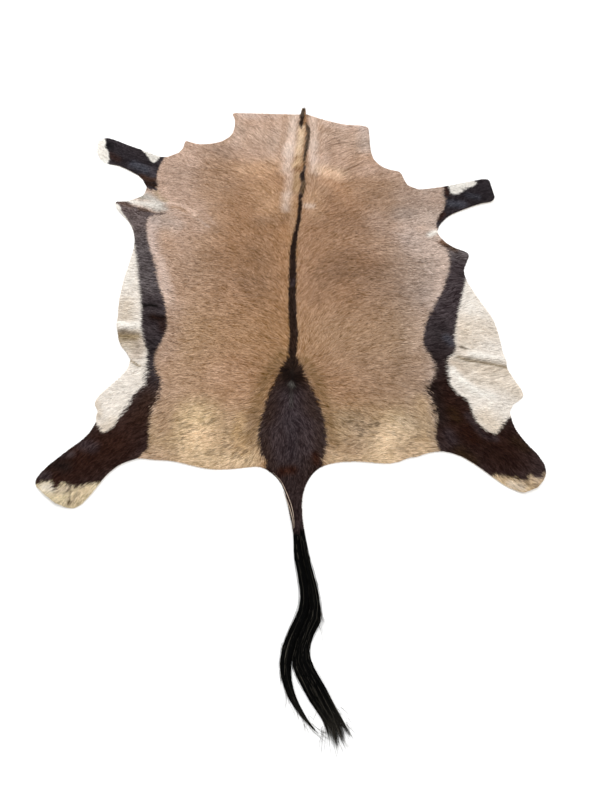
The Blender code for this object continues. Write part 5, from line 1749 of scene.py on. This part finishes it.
def tail_wisps(chance):
    """The loose strands, as centres and widths."""
    table = np.array(WISPS)
    table = np.repeat(table, table[:, 5].astype(int), axis=0)
    count = len(table)
    at = table[:, :2] + WISP_SPREAD * chance.standard_normal((count, 2))
    angle = np.radians(table[:, 2] + WISP_SWING[0] * chance.standard_normal(count))
    length = table[:, 3] * chance.uniform(0.5, 1.2, count)
    turn = np.radians(table[:, 4] + WISP_SWING[1] * chance.standard_normal(count))
    lift = chance.uniform(*WISP_HEIGHT, count)
    centres = np.zeros((count, TAIL_RINGS, 3))
    for ring, share in enumerate(np.linspace(0.0, 1.0, TAIL_RINGS)):
        centres[:, ring] = np.column_stack([at, lift * (1.0 - 0.8 * share) + 0.0006])
        way = angle + turn * (share * 2.0 - 0.5)
        at = at + (length / (TAIL_RINGS - 1))[:, None] * np.column_stack([np.cos(way), np.sin(way)])
    width = WISP_WIDTH * chance.uniform(0.6, 1.4, count)
    return centres, width[:, None] * np.linspace(1.2, 0.3, TAIL_RINGS)[None, :]


def make_tail_hair():
    """All the strands in one mesh, black, with a few browner ones as painted sheen, and browner tips and
    wisps.
    """
    chance = np.random.default_rng(TAIL_SEED)
    both = zip(tail_strands(chance), tail_wisps(chance))
    centres, widths = (np.concatenate(pair) for pair in both)
    count = len(centres)
    sheen_and_brown = (chance.random(count) < SHEEN_STRAND_SHARE)[:, None] * chance.uniform(0.3, 0.9, (count, 1))
    sheen_and_brown[TAIL_STRANDS:] = chance.uniform(0.3, 1.0, (count - TAIL_STRANDS, 1))
    colour = (HAIR_BLACK + sheen_and_brown * (TAIL_SHEEN_AND_BROWN - HAIR_BLACK)) * chance.uniform(0.6, 1.5, (count, 1))
    colours = np.repeat(colour[:, None, :], TAIL_RINGS, axis=1)
    tips = smooth_step(0.80, 1.0, np.linspace(0.0, 1.0, TAIL_RINGS))[None, :, None]
    colours = colours + BROWN_TIPS * tips * (TAIL_SHEEN_AND_BROWN - colours)
    mesh = blade_mesh("tail_hair", centres, widths, blade_sides(centres, chance), colours.clip(0.001, 0.9))
    return add_piece("tail_hair", mesh, tail_material), count


tail_hair, strand_count = make_tail_hair()
print("tail hair of", strand_count, "strands and", strand_count * (2 * TAIL_RINGS - 3), "triangles")

# %% [markdown]
# ## The floor, and what stands for what
# The floor is a plain pale plane. The sheet stands for the hide's solid, with the coat, the mane and the fold
# on it, and the strands stand for the tail hair's solid.

# %% Floor
FLOOR_SIZE = 12.0
FLOOR_DROP = 0.0006

ground = bmesh.new()
bmesh.ops.create_grid(ground, x_segments=1, y_segments=1, size=FLOOR_SIZE / 2)
bmesh.ops.translate(ground, verts=ground.verts, vec=(0.0, 0.0, -FLOOR_DROP))
floor_mesh = bpy.data.meshes.new("floor")
ground.to_mesh(floor_mesh)
ground.free()
plain = {"Base Color": (0.97, 0.97, 0.965, 1.0), "Specular IOR Level": 0.1, "Roughness": 0.9}
floor_material = new_material("pale floor", plain)[0]
floor_mesh.materials.append(floor_material)
floor = bpy.data.objects.new("floor", floor_mesh)
bpy.context.scene.collection.objects.link(floor)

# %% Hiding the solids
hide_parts("hide")
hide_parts("tail_tuft")
